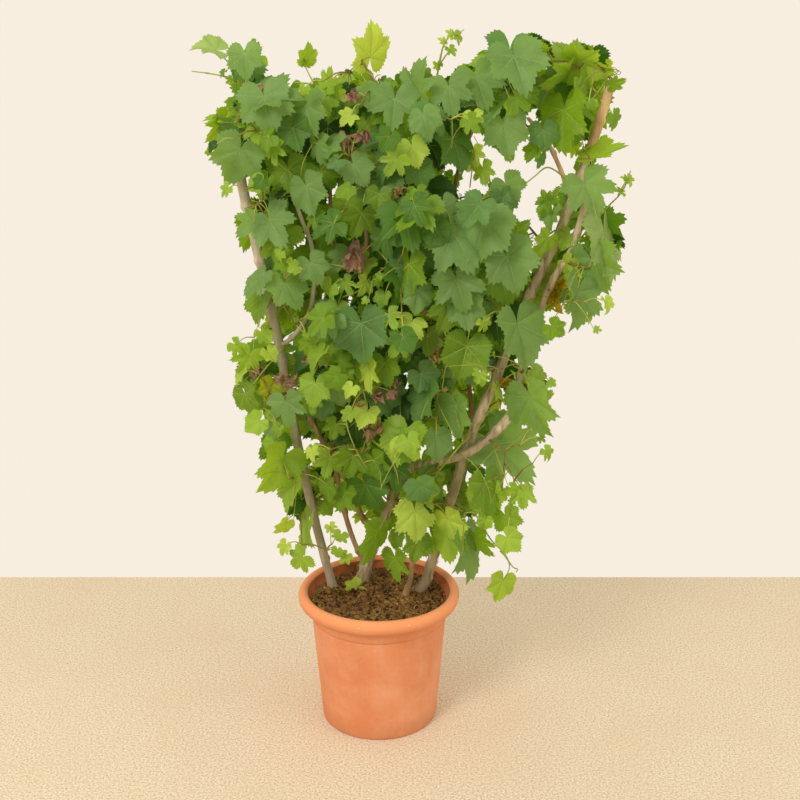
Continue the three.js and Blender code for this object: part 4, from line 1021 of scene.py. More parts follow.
class LeafShape:
    """The flat pattern of one kind of leaf: its points, its triangles and its veins."""

    def __init__(self, kind, rings):
        notch, self.width, teeth = LEAF_KINDS[kind]
        tips = [(t, 1 + TOOTH * teeth * (VEIN_TOOTH if t in VEINS else OTHER_TOOTH + EVERY_OTHER * (i % 2)))
                for i, t in enumerate(TEETH)]
        dips = [(mix(a, b, DIP_PLACE), 1 - DIP * teeth) for a, b in zip(TEETH, TEETH[1:])]
        side = sorted(tips + dips) + BY_STALK
        angles = np.array([-a for a, _ in reversed(side[1:])] + [a for a, _ in side])
        tooth = np.array([r for _, r in reversed(side[1:])] + [r for _, r in side])
        spread = np.abs(angles)
        reach = np.interp(spread, *zip(*OUTLINE))
        for middle, broad, share in SINUSES:
            reach = reach * (1 - notch * share * np.exp(-(((spread - middle) / broad) ** 2)))
        far = np.concatenate([reach * ring * (tooth if ring == 1 else 1) for ring in rings])
        angle = np.radians(np.tile(angles, len(rings)))
        self.x = np.concatenate([[0], np.sin(angle) * far * self.width])
        self.y = np.concatenate([[0], np.cos(angle) * far])
        count = len(angles)
        k = np.arange(count - 1)
        faces = [np.stack([np.zeros_like(k), k + 2, k + 1], axis=1)]
        for ring in range(len(rings) - 1):
            a, b = 1 + ring * count + k, 1 + (ring + 1) * count + k
            faces.append(np.stack([a, a + 1, b + 1], axis=1))
            faces.append(np.stack([a, b + 1, b], axis=1))
        self.faces = np.vstack(faces)
        if self.turned():
            self.faces = self.faces[:, ::-1]
        self.veins = self.vein_strips(reach, angles)

    def turned(self):
        a, b, c = self.faces[-1]
        cross = (self.x[b] - self.x[a]) * (self.y[c] - self.y[a])
        return cross - (self.y[b] - self.y[a]) * (self.x[c] - self.x[a]) < 0

    def vein_strips(self, reach, angles):
        """Each vein's start, end and width at its start, in shares of the leaf's length."""
        rows = []
        for vein in VEINS:
            for sign in (1, -1) if vein else (1,):
                length = float(np.interp(sign * vein, angles, reach)) * VEIN_LENGTH
                turn = math.radians(sign * vein)
                way = np.array([math.sin(turn) * self.width, math.cos(turn)])
                rows.append((np.zeros(2), way * length, VEIN_WIDTH - VEIN_THINNER * vein))
                count = BRANCHES["others" if vein else "middle"]
                for place in np.linspace(*BRANCHES["places"], count):
                    for hand in (1, -1):
                        off = turn + hand * math.radians(BRANCHES["off"])
                        short = BRANCHES["length"] * (1 - place * BRANCHES["shorter"])
                        short = short * (1 if vein < VEINS[-1] else BRANCHES["lowest"])
                        away = np.array([math.sin(off) * self.width, math.cos(off)])
                        start = way * length * (place + BRANCHES["offset"] * hand)
                        rows.append((start, start + away * short * length, BRANCHES["width"]))
        return rows


# The blade's relief: how sharp it swells between main veins; the ridges between side veins, with
# their slant, spacing and share, how soon they rise from the stalk and from a vein; and the waves
# at the margin, with how many there are, how soon they rise and their share.
SWELL_POWER = 0.8
RIDGE_SLANT, RIDGE_SPACING, RIDGE_SHARE, RIDGE_RISE, RIDGE_FROM_VEIN = 1.04, 0.145, 0.14, 3, 6
BROAD_WAVES, FINE_WAVES = (3, 2.5), (7, 3, 0.5)
LOBES = ([*VEINS, 180], [0, 1, 2, 2.75])  # degrees, and lobes counted from the tip
LEAST_CURL = 1e-3


def leaf_height(x, y, bend):
    """How far a leaf's surface stands out at each point. bend has one row for each leaf."""
    far = np.hypot(x, y)
    spread = np.abs(np.degrees(np.arctan2(x, y)))
    swell = np.abs(np.sin(math.pi * np.interp(spread, *LOBES))) ** SWELL_POWER * far
    fold, cup, droop, waves, phase, puff, twist = (bend[:, i : i + 1] for i in range(7))
    vein_at = np.radians(spread - np.array(VEINS)[np.abs(spread[:, None] - VEINS).argmin(axis=1)])
    lateral = far * (np.cos(vein_at) - RIDGE_SLANT * np.abs(np.sin(vein_at))) / RIDGE_SPACING
    ripple = np.abs(np.sin(math.pi * lateral)) * np.clip(far * RIDGE_RISE, 0, 1)
    ripple = ripple * np.clip(RIDGE_FROM_VEIN * np.abs(vein_at), 0, 1)
    height = puff * swell + RIDGE_SHARE * puff * ripple
    height = height + fold * np.abs(x) + cup * x * x + droop * y * np.abs(y)
    turn = np.radians(spread) * np.sign(x)
    count, rise = BROAD_WAVES
    height = height + waves * far**rise * np.sin(count * turn + phase)
    count, rise, share = FINE_WAVES
    height = height + share * waves * far**rise * np.sin(count * turn + 2 * phase)
    return height + twist * x * y


def leaf_places(leaves, x, y, lift=0.0):
    """The places of pattern points on each of some leaves, in millimetres."""
    joint, along, facing, size, bend = leaves
    across = np.cross(along, facing)
    z = leaf_height(x, y, bend) + lift / size[:, None]
    curl = bend[:, 7:8]
    curled, divisor = np.abs(curl) > LEAST_CURL, np.where(curl == 0, 1, curl)
    y_bent = np.where(curled, np.sin(curl * y) / divisor, y)
    z = z - np.where(curled, (1 - np.cos(curl * y)) / divisor, 0)
    local = (
        x[None, :, None] * across[:, None]
        + y_bent[..., None] * along[:, None]
        + z[..., None] * facing[:, None]
    )
    return joint[:, None] + local * size[:, None, None]


# Tints: what a leaf's face looks like, and the light through it.
TINTS = {
    "dull": ((121, 156, 86), (158, 200, 36)),
    "cool": ((102, 142, 76), (134, 184, 38)),
    "deep": ((86, 126, 44), (118, 170, 14)),
    # dark: painted shade, the tint for leaves deep in the crown and in its shaded middle.
    "dark": ((50, 84, 20), (70, 120, 5)),
    "mid": ((116, 151, 38), (158, 202, 14)),
    "fresh": ((146, 180, 60), (186, 220, 24)),
    "bright": ((184, 210, 84), (214, 232, 48)),
    "lime": ((176, 184, 34), (206, 210, 20)),
    "pale": ((154, 182, 106), (180, 210, 70)),
    "yellow": ((186, 158, 24), (200, 170, 16)),
    "husk": ((204, 172, 112), (204, 164, 88)),
    "dead": ((160, 126, 100), (150, 108, 70)),
}
THROUGH, DEAD_THROUGH = 0.42, 0.15  # the share of light that passes a leaf
LEAF_ROUGH, DEAD_ROUGH = 0.5, 0.75
PALE_VEINED = ("dull", "cool", "deep", "pale")

# Growth, by the source's rule with finer twigs and life-size leaves.
LEAF_SIZES = [(0.2, 22, 42), (0.5, 42, 68), (1, 68, 96)]  # share of leaves up to here, and sizes
PETIOLE = {"shortest": 8, "longest": 74, "kept": 46}  # past the longest, a twig takes the rest
STALK_RADII, TWIG_RADII, STEM_RADII = (1.265, 0.935), (2.0, 1.2), (3.4, 2.2)  # root and tip
TRIES = 2600
SMALLEST_SHARE = 0.55  # of its size that a leaf still has at the last try
PER_MASS = {  # leaves wanted in a front mass and in a back one
    "crest": (26, 22), "upper": (25, 22), "middle": (25, 22), "lower": (19, 17), "foot": (11, 9)}
LIMB_MARGIN = 7  # between a leaf and a limb
DEPTH_LIMIT = (-200, 172)  # to the front and to the back
LAYER = 13  # between two leaves that lie over each other
OVERLAP = 0.5  # of both sizes, within which two leaves count as over each other
FRONT_MARGIN, OWN_MARGIN = 0.62, 0.45  # shares of both sizes that a leaf keeps clear as it is seen
BEHIND = 22  # so far behind a front leaf another still counts as before it
INNER_CORNERS = 0.55  # a second ring of corners that is tested, in shares of the first
CORE_SHARES = (0, 0.45, 0.85)  # the rings of points that are tested before a limb
SHOOT_REACH = 26  # a front leaf so near to a shoot grows from it
NEAR_LIMB = 0.9  # a limb nearer than this share of the way to a twig is used instead
BACKWARDS = -0.9  # a stalk that runs so much against its leaf isn't grown
TWIG_BOW, STALK_BOW, STALK_OVERLAP = 0.1, 0.16, 0.5
FRONT_SEED = 77
FRONT_SWAY, FRONT_LIFT, FRONT_SPREAD = 0.4, 0.2, 1800  # how the front leaves' facings differ
SHOOT_POINTS = 40  # on each shoot's curve, for leaves that grow from it
CRUMPLED_MARGIN = 1.5  # what is kept clear of a withered leaf, in shares of its half size
YOUNG = {"step": 19, "sizes": (13, 40), "tries": 40,
         "bright_below": 1010, "wanted": {"crest": 1, "upper": 1, "middle": 2, "lower": 4, "foot": 4}}
SHOW_MARGIN = 4  # kept clear beside a limb that shows


def around(draw, spread, middle=0.5):
    """A random number that lies about nought."""
    return spread * (draw() - middle)


def lay_out_masses():
    masses = []
    for name, height, first, last, count in ROWS:
        step = (last - first) / (count - 1)
        for i in range(count):
            lift = STAGGER if i % 2 else -STAGGER
            centre = np.array([first + i * step, FRONT_Y, height + lift], float)
            masses.append({"name": f"leaves_{name}_front_{i + 1}", "row": name, "centre": centre})
        for i in range(count - 1):
            centre = np.array([first + (i + 0.5) * step, BACK_Y, height - ROW_DROP], float)
            masses.append({"name": f"leaves_{name}_back_{i + 1}", "row": name, "centre": centre})
    return masses


def add_stem(mass, by_limb, taken):
    """Gives a mass its main stem, from the nearest free point of any limb."""
    best = None
    for row in by_limb.values():
        free = [p for p in row if all(np.linalg.norm(t - p) > ROOT_SPACING for t in taken)]
        root = min(free, key=lambda p: np.linalg.norm(p - mass["centre"]))
        distance = np.linalg.norm(root - mass["centre"])
        if best is None or distance < best[0]:
            best = (distance, root)
    root = best[1]
    taken.append(root)
    end = mass["centre"] + np.array([0, 0, STEM_LIFT])
    points = np.vstack(list(by_limb.values()))
    nearest = points[np.argmin(np.linalg.norm(points - end, axis=1))]
    away = end - nearest
    distance = np.linalg.norm(away)
    end = end + away / distance * max(0, STEM_CLEAR - distance)
    middle = (root + end) / 2
    middle[1] += math.copysign(STEM_BOW, mass["centre"][1])
    t = np.linspace(0, 1, STEM_SPANS + 1)[:, None]
    mass["stem"] = root * (1 - t) ** 2 + 2 * middle * t * (1 - t) + end * t**2


def leaf_size(draw):
    pick, place = draw(), draw()
    for share, low, high in LEAF_SIZES:
        if pick <= share:
            return mix(low, high, place)
    return LEAF_SIZES[-1][1]


def hanging_leaf(joint, draw):
    """A leaf's way and facing at a joint: out of the crown and up, its tip down and outwards."""
    middle, spread = CROWN_Y
    side = -1 if joint[1] < middle + around(draw, spread) else 1
    spread, lift, sway = FACING
    facing = unit(np.array([(joint[0] - CROWN_X) / spread + around(draw, sway), side,
                            lift + around(draw, sway)]))
    spread, sway, swing = HANGING
    along = np.array([(joint[0] - CROWN_X) / spread + around(draw, sway), around(draw, swing), -1])
    return square_to(along, facing), facing


def leaf_corners(joint, along, facing, size):
    return joint + size * (LEAF_CORNERS @ np.stack([np.cross(along, facing), along, facing]))


def inside_crown(points):
    x, z = points[:, 0], points[:, 2]
    good = (z < np.interp(x, *zip(*TOP_EDGE))) & (z > CROWN_BOTTOM)
    good &= x > np.interp(z, *zip(*LEFT_EDGE))
    good &= x < np.interp(z, *zip(*RIGHT_EDGE))
    for wx, wz, half_x, half_z in WINDOWS:
        good &= ((x - wx) / half_x) ** 2 + ((z - wz) / half_z) ** 2 > 1
    return bool(good.all())


def too_deep(points, spare=0):
    """Whether any point lies nearer to the front or the back than leaves and twigs may."""
    front, back = DEPTH_LIMIT
    return bool(points[:, 1].min() < front + spare or points[:, 1].max() > back - spare)


def near_pot(points, spare=0):
    """Whether any point lies over the soil, or beside the pot, where none may grow."""
    radius, height = POT_SPACE
    close = (np.hypot(points[:, 0], points[:, 1]) < radius) & (points[:, 2] < height + spare)
    return bool(close.any())


class Crown:
    """All the leaves and twigs that have grown, and what they keep clear of."""

    def __init__(self):
        by_limb = {name: curve(limb[2], LIMB_POINTS) for name, limb in LIMBS.items()}
        radii = {name: limb_radius(name, np.linspace(0, 1, LIMB_POINTS), row[:, 2])
                 for name, row in by_limb.items()}
        self.masses = lay_out_masses()
        taken = []
        for mass in self.masses:
            add_stem(mass, by_limb, taken)
            mass["starts"] = [mass["stem"][1:-1]]
            mass["ends"] = [mass["stem"][2:]]
        self.centres = np.array([mass["centre"] for mass in self.masses])
        self.wood = np.vstack(list(by_limb.values()))
        self.wood_radii = np.concatenate(list(radii.values()))
        shows = {name: (by_limb[name][:, 2] > low) & (by_limb[name][:, 2] < high)
                 for name, (low, high) in SHOWING.items()}
        self.shown = np.vstack([by_limb[name][keep] for name, keep in shows.items()])
        self.shown_radii = np.concatenate([radii[name][keep] for name, keep in shows.items()])
        self.leaves = []  # joint, along, facing, size, tint, kind, front
        self.middles, self.sizes = np.zeros((0, 3)), np.zeros(0)
        self.front_middles, self.front_sizes = np.zeros((0, 3)), np.zeros(0)
        self.petioles, self.twigs, self.young = [], [], []

    def keep(self, joint, along, facing, size, tint, kind, front=0):
        self.leaves.append((joint, along, facing, size, tint, kind, front))
        middle = joint + along * size * LEAF_MIDDLE
        self.middles = np.vstack([self.middles, middle])
        self.sizes = np.append(self.sizes, size)
        if front:
            self.keep_clear(middle, size)

    def keep_clear(self, middle, size):
        """Lets no leaf that grows later lie before this place."""
        self.front_middles = np.vstack([self.front_middles, middle])
        self.front_sizes = np.append(self.front_sizes, size)

    def crowded(self, middle, facing, size):
        gap = self.middles - middle
        through = gap @ facing
        across = np.linalg.norm(gap - through[:, None] * facing, axis=1)
        if np.any((across < OVERLAP * (self.sizes + size)) & (np.abs(through) < LAYER)):
            return True
        return self.covers(middle, size)

    def covers(self, middle, size):
        """Whether a leaf would lie before one of those given by their places."""
        seen = np.linalg.norm(as_seen(self.front_middles) - as_seen(middle), axis=1)
        near = seen < FRONT_MARGIN * self.front_sizes + OWN_MARGIN * size
        return bool(np.any(near & (middle[1] < self.front_middles[:, 1] + BEHIND)))

    def fits(self, mass, joint, along, facing, size):
        corners = leaf_corners(joint, along, facing, size)
        middle = corners[-1]
        if not inside_crown(corners) or too_deep(corners) or near_pot(corners):
            return False
        if self.nearest_mass(middle) is not mass:
            return False
        points = np.vstack([corners, middle + (corners[:-1] - middle) * INNER_CORNERS])
        gaps = np.linalg.norm(points[:, None] - self.wood[None], axis=2) - self.wood_radii
        if gaps.min() < LIMB_MARGIN:
            return False
        return not self.hides(middle, corners) and not self.crowded(middle, facing, size)

    def hides(self, middle, corners):
        """Whether a leaf would lie before a stretch of limb that shows."""
        rim = np.vstack([corners[:-1], (corners[:-1] + np.roll(corners[:-1], 1, axis=0)) / 2])
        core = np.vstack([middle + (rim - middle) * share for share in CORE_SHARES])
        seen = np.linalg.norm(as_seen(core)[:, None] - as_seen(self.shown)[None], axis=2)
        over = (seen < self.shown_radii + SHOW_MARGIN) & (core[:, None, 1] < self.shown[None, :, 1])
        return bool(over.any())

    def attach(self, mass, joint, along, firm=False):
        """Joins a leaf to the nearest twig of its mass by a stalk, or by a new twig and a stalk."""
        starts, ends = np.vstack(mass["starts"]), np.vstack(mass["ends"])
        spans = ends - starts
        share = np.einsum("ij,ij->i", joint - starts, spans) / np.einsum("ij,ij->i", spans, spans)
        places = starts + np.clip(share, 0, 1)[:, None] * spans
        distances = np.linalg.norm(places - joint, axis=1)
        best = int(np.argmin(distances))
        knot, distance = places[best], distances[best]
        limb = np.linalg.norm(self.wood - joint, axis=1)
        if firm and limb.min() < NEAR_LIMB * distance:
            knot, distance = self.wood[np.argmin(limb)], limb.min()
        if not firm:
            backwards = ((joint - knot) / max(distance, 1e-3)).dot(along) < BACKWARDS
            if distance < PETIOLE["shortest"] or backwards:
                return False
        root = knot
        if distance > PETIOLE["longest"]:
            root = joint + (knot - joint) * PETIOLE["kept"] / distance
            bend = (knot + root) / 2 + np.array([0, 0, TWIG_BOW * np.linalg.norm(root - knot)])
            self.twigs.append([knot, bend, root])
            mass["starts"] += [knot[None], bend[None]]
            mass["ends"] += [bend[None], root[None]]
        bow = np.array([0, 0, STALK_BOW * np.linalg.norm(joint - root)])
        self.petioles.append([root, (root + joint) / 2 + bow, joint - along * STALK_OVERLAP])
        return True

    def short_stalk(self, knot, joint):
        """Joins a leaf straight to a shoot."""
        self.petioles.append([knot, (knot + joint) / 2 + (0, 0, 1), joint])

    def nearest_mass(self, place):
        return self.masses[int(np.argmin(np.linalg.norm(self.centres - place, axis=1)))]

    def place_front(self):
        """The leaves given by their joint and tip, each on the mass that its middle is in."""
        draw = random_source(FRONT_SEED)
        shoots = np.vstack([curve(line, SHOOT_POINTS) for line in shoot_paths().values()])
        for row, (*ends, back, tint, width, kind) in enumerate(FRONT_LEAVES):
            joint, tip = leaf_ends(*ends, back, width)
            along = tip - joint
            size = np.linalg.norm(along)
            along /= size
            sway = around(draw, FRONT_SWAY)
            lift = (EYE[2] - joint[2]) / -EYE[1] + FRONT_LIFT * draw()
            facing = np.array([sway + (joint[0] - CROWN_X) / FRONT_SPREAD, -1, lift])
            facing = square_to(facing, along)
            turn = math.acos(min(width, 1)) * (-1) ** row
            facing = facing * math.cos(turn) + np.cross(along, facing) * math.sin(turn)
            near = shoots[np.argmin(np.linalg.norm(shoots - joint, axis=1))]
            if np.linalg.norm(near - joint) < SHOOT_REACH:
                self.short_stalk(near, joint)
            else:
                mass = self.nearest_mass(joint + along * size * LEAF_MIDDLE)
                self.attach(mass, joint, along, firm=True)
            self.keep(joint, along, facing, size, tint, kind, front=1)
        for *place, half, _ in CRUMPLED:
            self.keep_clear(on_picture(*place), CRUMPLED_MARGIN * round(half * PIXEL))

    def grow_mass(self, index, mass):
        draw = random_source(SEED + index)
        wanted, grown = PER_MASS[mass["row"]][int(mass["centre"][1] > 0)], 0
        for attempt in range(TRIES):
            if grown == wanted:
                break
            share = mix(1, SMALLEST_SHARE, attempt / TRIES)
            joint = mass["centre"] + np.array([half * (2 * draw() - 1) for half in MASS_HALF])
            size = share * leaf_size(draw)
            along, facing = hanging_leaf(joint, draw)
            pick, kind = draw(), int(draw() * len(LEAF_KINDS))
            if self.fits(mass, joint, along, facing, size) and self.attach(mass, joint, along):
                self.keep(joint, along, facing, size, tint_for(joint, size, pick), kind)
                grown += 1


# The crown's shaded middle, where leaves are dealt darker tints as painted shade: its place across and how
# far it spreads, and the same upwards.
SHADE = (110, 150, 1110, 230)
BRIGHT_UP_TO = 50  # the size of the largest leaf that is dealt the brightest tint
YOUNG_UP_TO = 44  # the same for leaves that count as young
YOUNG_SHARE, YOUNG_SHADED, YOUNG_HIGH = 0.7, 0.3, 0.45  # of small leaves: in light, in shade, high up
# The tints of small leaves and of leaves on shoots: up to which number each is dealt.
BRIGHT_SMALL, BRIGHT_HIGH, FRESH_HIGH = 0.14, 0.02, 0.14
SHOOT_TINTS = {True: (0.13, 0.7), False: (0.02, 0.4)}  # low down or not: bright, and fresh
DEPTH_FROM, DEPTH_OVER = 110, 200  # depth counts from so far in front, over so much
# A tint's weight in front and at the back, how much of it shade takes away, how much shade adds,
# and how much it adds at the back. The shade is painted: it deals darker tints deep in the crown and in its
# shaded middle.
TINT_WEIGHTS = {
    "dull": (0.28, 0.08, 0, 0, 0),
    "cool": (0.16, 0.05, 0, 0, 0),
    "deep": (0.12, 0.12, 0, 0.16, 0),
    "dark": (0.03, 0.26, 0, 0, 0.5),
    "mid": (0.22, 0.32, 0, 0, 0),
    "fresh": (0.14, 0.28, 0.7, 0, 0),
    "bright": (0.05, 0.05, 0.8, 0, 0),
}


def tint_for(joint, size, pick):
    """Deals a leaf its tint: old and dull in front, fresher behind and where it is small; darker tints in
    the crown's depth and shaded middle are painted shade, and the fresher ones behind are partly painted
    light through the leaves.
    """
    depth = np.clip((joint[1] + DEPTH_FROM) / DEPTH_OVER, 0, 1)
    shade = math.exp(-(((joint[0] - SHADE[0]) / SHADE[1]) ** 2) - ((joint[2] - SHADE[2]) / SHADE[3]) ** 2)
    low = joint[2] < YOUNG["bright_below"]
    # Painted shade: fewer small leaves get young, lighter tints in the crown's shaded middle.
    if size < YOUNG_UP_TO and pick < mix(YOUNG_SHARE, YOUNG_SHADED, shade) * (1 if low else YOUNG_HIGH):
        if pick < (BRIGHT_SMALL if low else BRIGHT_HIGH):
            return "bright"
        return "fresh" if low or pick < FRESH_HIGH else "mid"
    # Painted shade: dark and deep weigh more deep in the crown and in its shaded middle, fresh and bright
    # less there; fresh also weighs more behind, partly as painted light through the leaves.
    weights = {tint: mix(front, back, depth) * (1 - less * shade) + more * shade + deep * depth * shade
               for tint, (front, back, less, more, deep) in TINT_WEIGHTS.items()}
    weights["bright"] *= size < BRIGHT_UP_TO
    total = sum(weights.values())
    for tint, weight in weights.items():
        pick -= weight / total
        if pick <= 0:
            return tint
    return "mid"


def shoot_tint(pick, low):
    bright, fresh = SHOOT_TINTS[bool(low)]
    return "bright" if pick < bright else "fresh" if pick < fresh else "mid"


# The rings of points on a leaf, in shares of its reach.
FRONT_RINGS = (0.14, 0.29, 0.44, 0.59, 0.73, 0.86, 0.94, 1)
INNER_RINGS = (0.38, 0.72, 1)
CRUMPLED_RINGS = (0.2, 0.4, 0.6, 0.8, 1)
BENDS = [  # each leaf's own bends, from the least to the most
    (-0.1, 0.32),  # fold along its middle vein
    (-0.4, 0.1),  # edges bent back
    (-0.2, 0.08),  # tip bent back
    (0.03, 0.11),  # waves at its margin
    (0, 6.3),  # where those waves start
    (0.08, 0.15),  # the blade puffed up between its veins
    (-0.22, 0.22),  # twist
    (-0.2, 1.3),  # curl along its length
]
FLATTER, FLATTER_SHARE = [1, 2, 6, 7], 0.45  # the bends that front leaves have less of
VEIN_RISE, FRONT_VEIN_RISE = (0.45,), (0.5, -0.5)
VEIN_FROM, VEIN_TAPER, MAIN_FROM = 0.03, 0.75, 0.01  # start, thinning, and the width of a main vein
MAIN_ROWS, SIDE_ROWS = 6, 3


def bends(rng, count, front):
    """Each leaf's own folds, waves and curl. Those in front lie flatter."""
    rows = np.stack([rng.uniform(low, high, count) for low, high in BENDS], axis=1)
    if front:
        rows[:, FLATTER] *= FLATTER_SHARE
    return rows


def make_leaves(crown):
    rng = np.random.RandomState(SEEDS["leaves"])
    heaps = {tint: Heap() for tint in TINTS}
    veins = {name: Heap() for name in VEIN_TONES}
    shapes = {(kind, front): LeafShape(kind, FRONT_RINGS if front else INNER_RINGS)
              for kind in range(len(LEAF_KINDS)) for front in (0, 1)}
    groups = {}
    for leaf in crown.leaves:
        groups.setdefault(leaf[4:7], []).append(leaf)
    for (tint, kind, front), rows in groups.items():
        shape = shapes[(kind, front)]
        arrays = [np.array([row[i] for row in rows], float) for i in range(4)]
        leaves = (*arrays, bends(rng, len(rows), front))
        places = leaf_places(leaves, shape.x, shape.y)
        heaps[tint].add(places.reshape(-1, 3), repeated(shape.faces, len(shape.x), len(rows)))
        add_veins(veins["pale" if tint in PALE_VEINED else "green"], leaves, shape, front)
    return heaps, veins


def add_veins(heap, leaves, shape, front):
    """Thin raised strips along the veins: the main ones, and all on a leaf that is given by place."""
    for start, end, width in shape.veins:
        main = width > MAIN_FROM
        if not front and not main:
            continue
        way = unit(end - start)
        off = np.array([-way[1], way[0]])
        rows = MAIN_ROWS if main else SIDE_ROWS
        shares = np.linspace(VEIN_FROM, 1, rows)
        middles = start + (end - start) * shares[:, None]
        half = width * (1 - VEIN_TAPER * shares)[:, None] / 2
        line = np.stack([middles - off * half, middles + off * half], axis=1).reshape(-1, 2)
        for lift in FRONT_VEIN_RISE if main and front else VEIN_RISE:
            places = leaf_places(leaves, line[:, 0], line[:, 1], lift)
            heap.add(places.reshape(-1, 3), repeated(strip_faces(rows, 2), len(line), len(places)))


# A withered leaf: how much of its width and length is left and how far it is set back, how far it
# is rolled each way, its creases across, along and fine, and its size in shares of its place's.
WITHERED, SET_BACK = 0.9, 0.3
ROLLS = ((1.6, 3.2), (1.4, 2.8))
CREASE, CREASES, FINE_CREASE, FINE_CREASES = 0.16, (7, 8), 0.07, (19, 13)
WITHERED_SIZE = 1.5
BIG_CLUMP, CLUMP = (25, 4), (12, 3)  # from this half size on, so many leaves to a clump
CLUMP_SPREAD, CLUMP_SIZES = 0.3, (0.75, 1.05)


def crumpled_leaf(rng, middle, half, shape):
    """A withered leaf, rolled both ways and creased."""
    x, y = shape.x * WITHERED, shape.y * WITHERED - SET_BACK
    roll_x, roll_y = rng.uniform(*ROLLS[0]), rng.uniform(*ROLLS[1])
    across, along = CREASES
    z = CREASE * np.sin(across * x + rng.uniform(0, 6)) + CREASE * np.sin(along * y + rng.uniform(0, 6))
    across, along = FINE_CREASES
    z = z + FINE_CREASE * np.sin(across * x + along * y + rng.uniform(0, 6))
    z = z + (1 - np.cos(roll_x * x)) / roll_x + (1 - np.cos(roll_y * y)) / roll_y
    flat = np.stack([np.sin(roll_x * x) / roll_x, np.sin(roll_y * y) / roll_y, z], axis=1)
    return middle + (flat * half * WITHERED_SIZE) @ spins(rng, 1)[0].T


def make_crumpled(heaps, crown):
    rng = np.random.RandomState(SEEDS["withered"])
    shape = LeafShape(1, CRUMPLED_RINGS)
    for *place, half, tint in CRUMPLED:
        middle, half = on_picture(*place), round(half * PIXEL)
        for _ in range(BIG_CLUMP[1] if half > BIG_CLUMP[0] else CLUMP[1] if half > CLUMP[0] else 1):
            spot = middle + rng.normal(size=3) * half * CLUMP_SPREAD
            places = crumpled_leaf(rng, spot, half * rng.uniform(*CLUMP_SIZES), shape)
            heaps[tint].add(places, shape.faces)
        crown.attach(crown.nearest_mass(middle), middle, np.array([0, 0, -1.0]), firm=True)


# Young shoots: how far they spread sideways, out and up; how they bend, and in how many steps they
# grow; what they keep clear of the crown's faces and the pot; and how their leaves stand.
SHOOT_WIDE, SHOOT_OUT, SHOOT_UP, SHOOT_LEVEL = 2.4, 0.3, 1.8, 0.45
SHOOT_SINK, SHOOT_SINK_MORE, SHOOT_BEND = -0.2, 0.5, 0.22
SHOOT_STEPS, SHOOT_MORE = 4, 5
SHOOT_SPARE, SHOOT_POT_SPARE = 12, 10
SHOOT_LEAF_SIZES, SHOOT_STALK = (0.8, 1.2), 0.35
SHOOT_LEAF_OUT, SHOOT_LEAF_SWAY, SHOOT_LEAF_DOWN = 0.8, 0.8, 0.2


def young_path(mass, draw):
    """A shoot's path from its mass's stem or a twig, its last way, and the side it faces."""
    k = 1 + int(draw() * STEM_SPANS)
    place = mass["stem"][k] if draw() < 0.5 else mass["ends"][int(draw() * len(mass["ends"]))][0]
    side = math.copysign(1, place[1] - CROWN_Y[0])
    way = unit(np.array([around(draw, SHOOT_WIDE), side * (SHOOT_OUT + draw()),
                         around(draw, SHOOT_UP, SHOOT_LEVEL)]))
    bend = np.array([around(draw, 1), around(draw, 1), SHOOT_SINK - SHOOT_SINK_MORE * draw()])
    path = [place]
    for _ in range(SHOOT_STEPS + int(draw() * SHOOT_MORE)):
        way = unit(way + bend * SHOOT_BEND)
        path.append(path[-1] + way * YOUNG["step"])
    return np.array(path), way, side


def dress_young(crown, path, way, side, draw):
    """Small leaves along a shoot, to its left and right by turns."""
    hand, steps = 1, len(path) - 1
    for step in range(1, steps + 1):
        size = mix(YOUNG["sizes"][1], YOUNG["sizes"][0], step / steps) * mix(*SHOOT_LEAF_SIZES, draw())
        out = unit(np.cross(path[step] - path[step - 1], (0, side, 0.01))) * hand
        joint = path[step] + unit(out + 0.5 * way) * size * SHOOT_STALK
        sway = around(draw, SHOOT_LEAF_SWAY)
        down = SHOOT_LEAF_DOWN + SHOOT_LEAF_SWAY * draw()
        along = unit(out * SHOOT_LEAF_OUT + np.array([sway, 0, -down]))
        facing = unit(np.array([around(draw, 1), side, draw()]))
        facing = square_to(facing, along)
        hand = -hand
        corners = leaf_corners(joint, along, facing, size)
        hides = crown.hides(corners[-1], corners) or crown.covers(corners[-1], size)
        if hides or not inside_crown(corners) or too_deep(corners):
            continue
        tint = shoot_tint(draw(), joint[2] < YOUNG["bright_below"])
        crown.keep(joint, along, facing, size, tint, int(draw() * len(LEAF_KINDS)))
        crown.short_stalk(path[step], joint)


def grow_young(crown, mass, draw):
    """Young shoots that stand out from a mass."""
    grown = 0
    for _ in range(YOUNG["tries"]):
        if grown == YOUNG["wanted"][mass["row"]]:
            return
        path, way, side = young_path(mass, draw)
        covered = crown.hides(path[-1], np.vstack([path[1:], path[-1:]]))
        blocked = too_deep(path, SHOOT_SPARE) or near_pot(path, SHOOT_POT_SPARE)
        if blocked or covered or not inside_crown(path):
            continue
        crown.young.append(path)
        dress_young(crown, path, way, side, draw)
        grown += 1


# Tubes: how many points on the curve and sides each has.
STEM_TUBE, TWIG_TUBE, STALK_TUBE = (16, 7), (7, 6), (6, 5)
SHOOT_SIDES, YOUNG_SIDES, TENDRIL_SIDES = 7, 6, 5
YOUNG_POINTS, GREEN_POINTS, GREEN_STEP = 30, 60, 4
YOUNG_RADII, TENDRIL_RADII = (1.3, 0.6), (0.9, 0.45)
GREEN_RADIUS, THIN_RADIUS, GREEN_TAPER = 1.9, 1.2, 0.55  # of the shoots that are given by their places
KNOT_SWELL, KNOT_PITCH, KNOT_SHARP = 0.22, 0.34, 8
TENDRILS = 2  # tried on each mass's stem
TENDRIL_STEPS, TENDRIL_LENGTHS = 26, (34, 80)
TENDRIL_TURN, TENDRIL_RISE, TENDRIL_OUT, TENDRIL_UP = 0.06, 0.25, 1.2, (-0.4, 0.8)


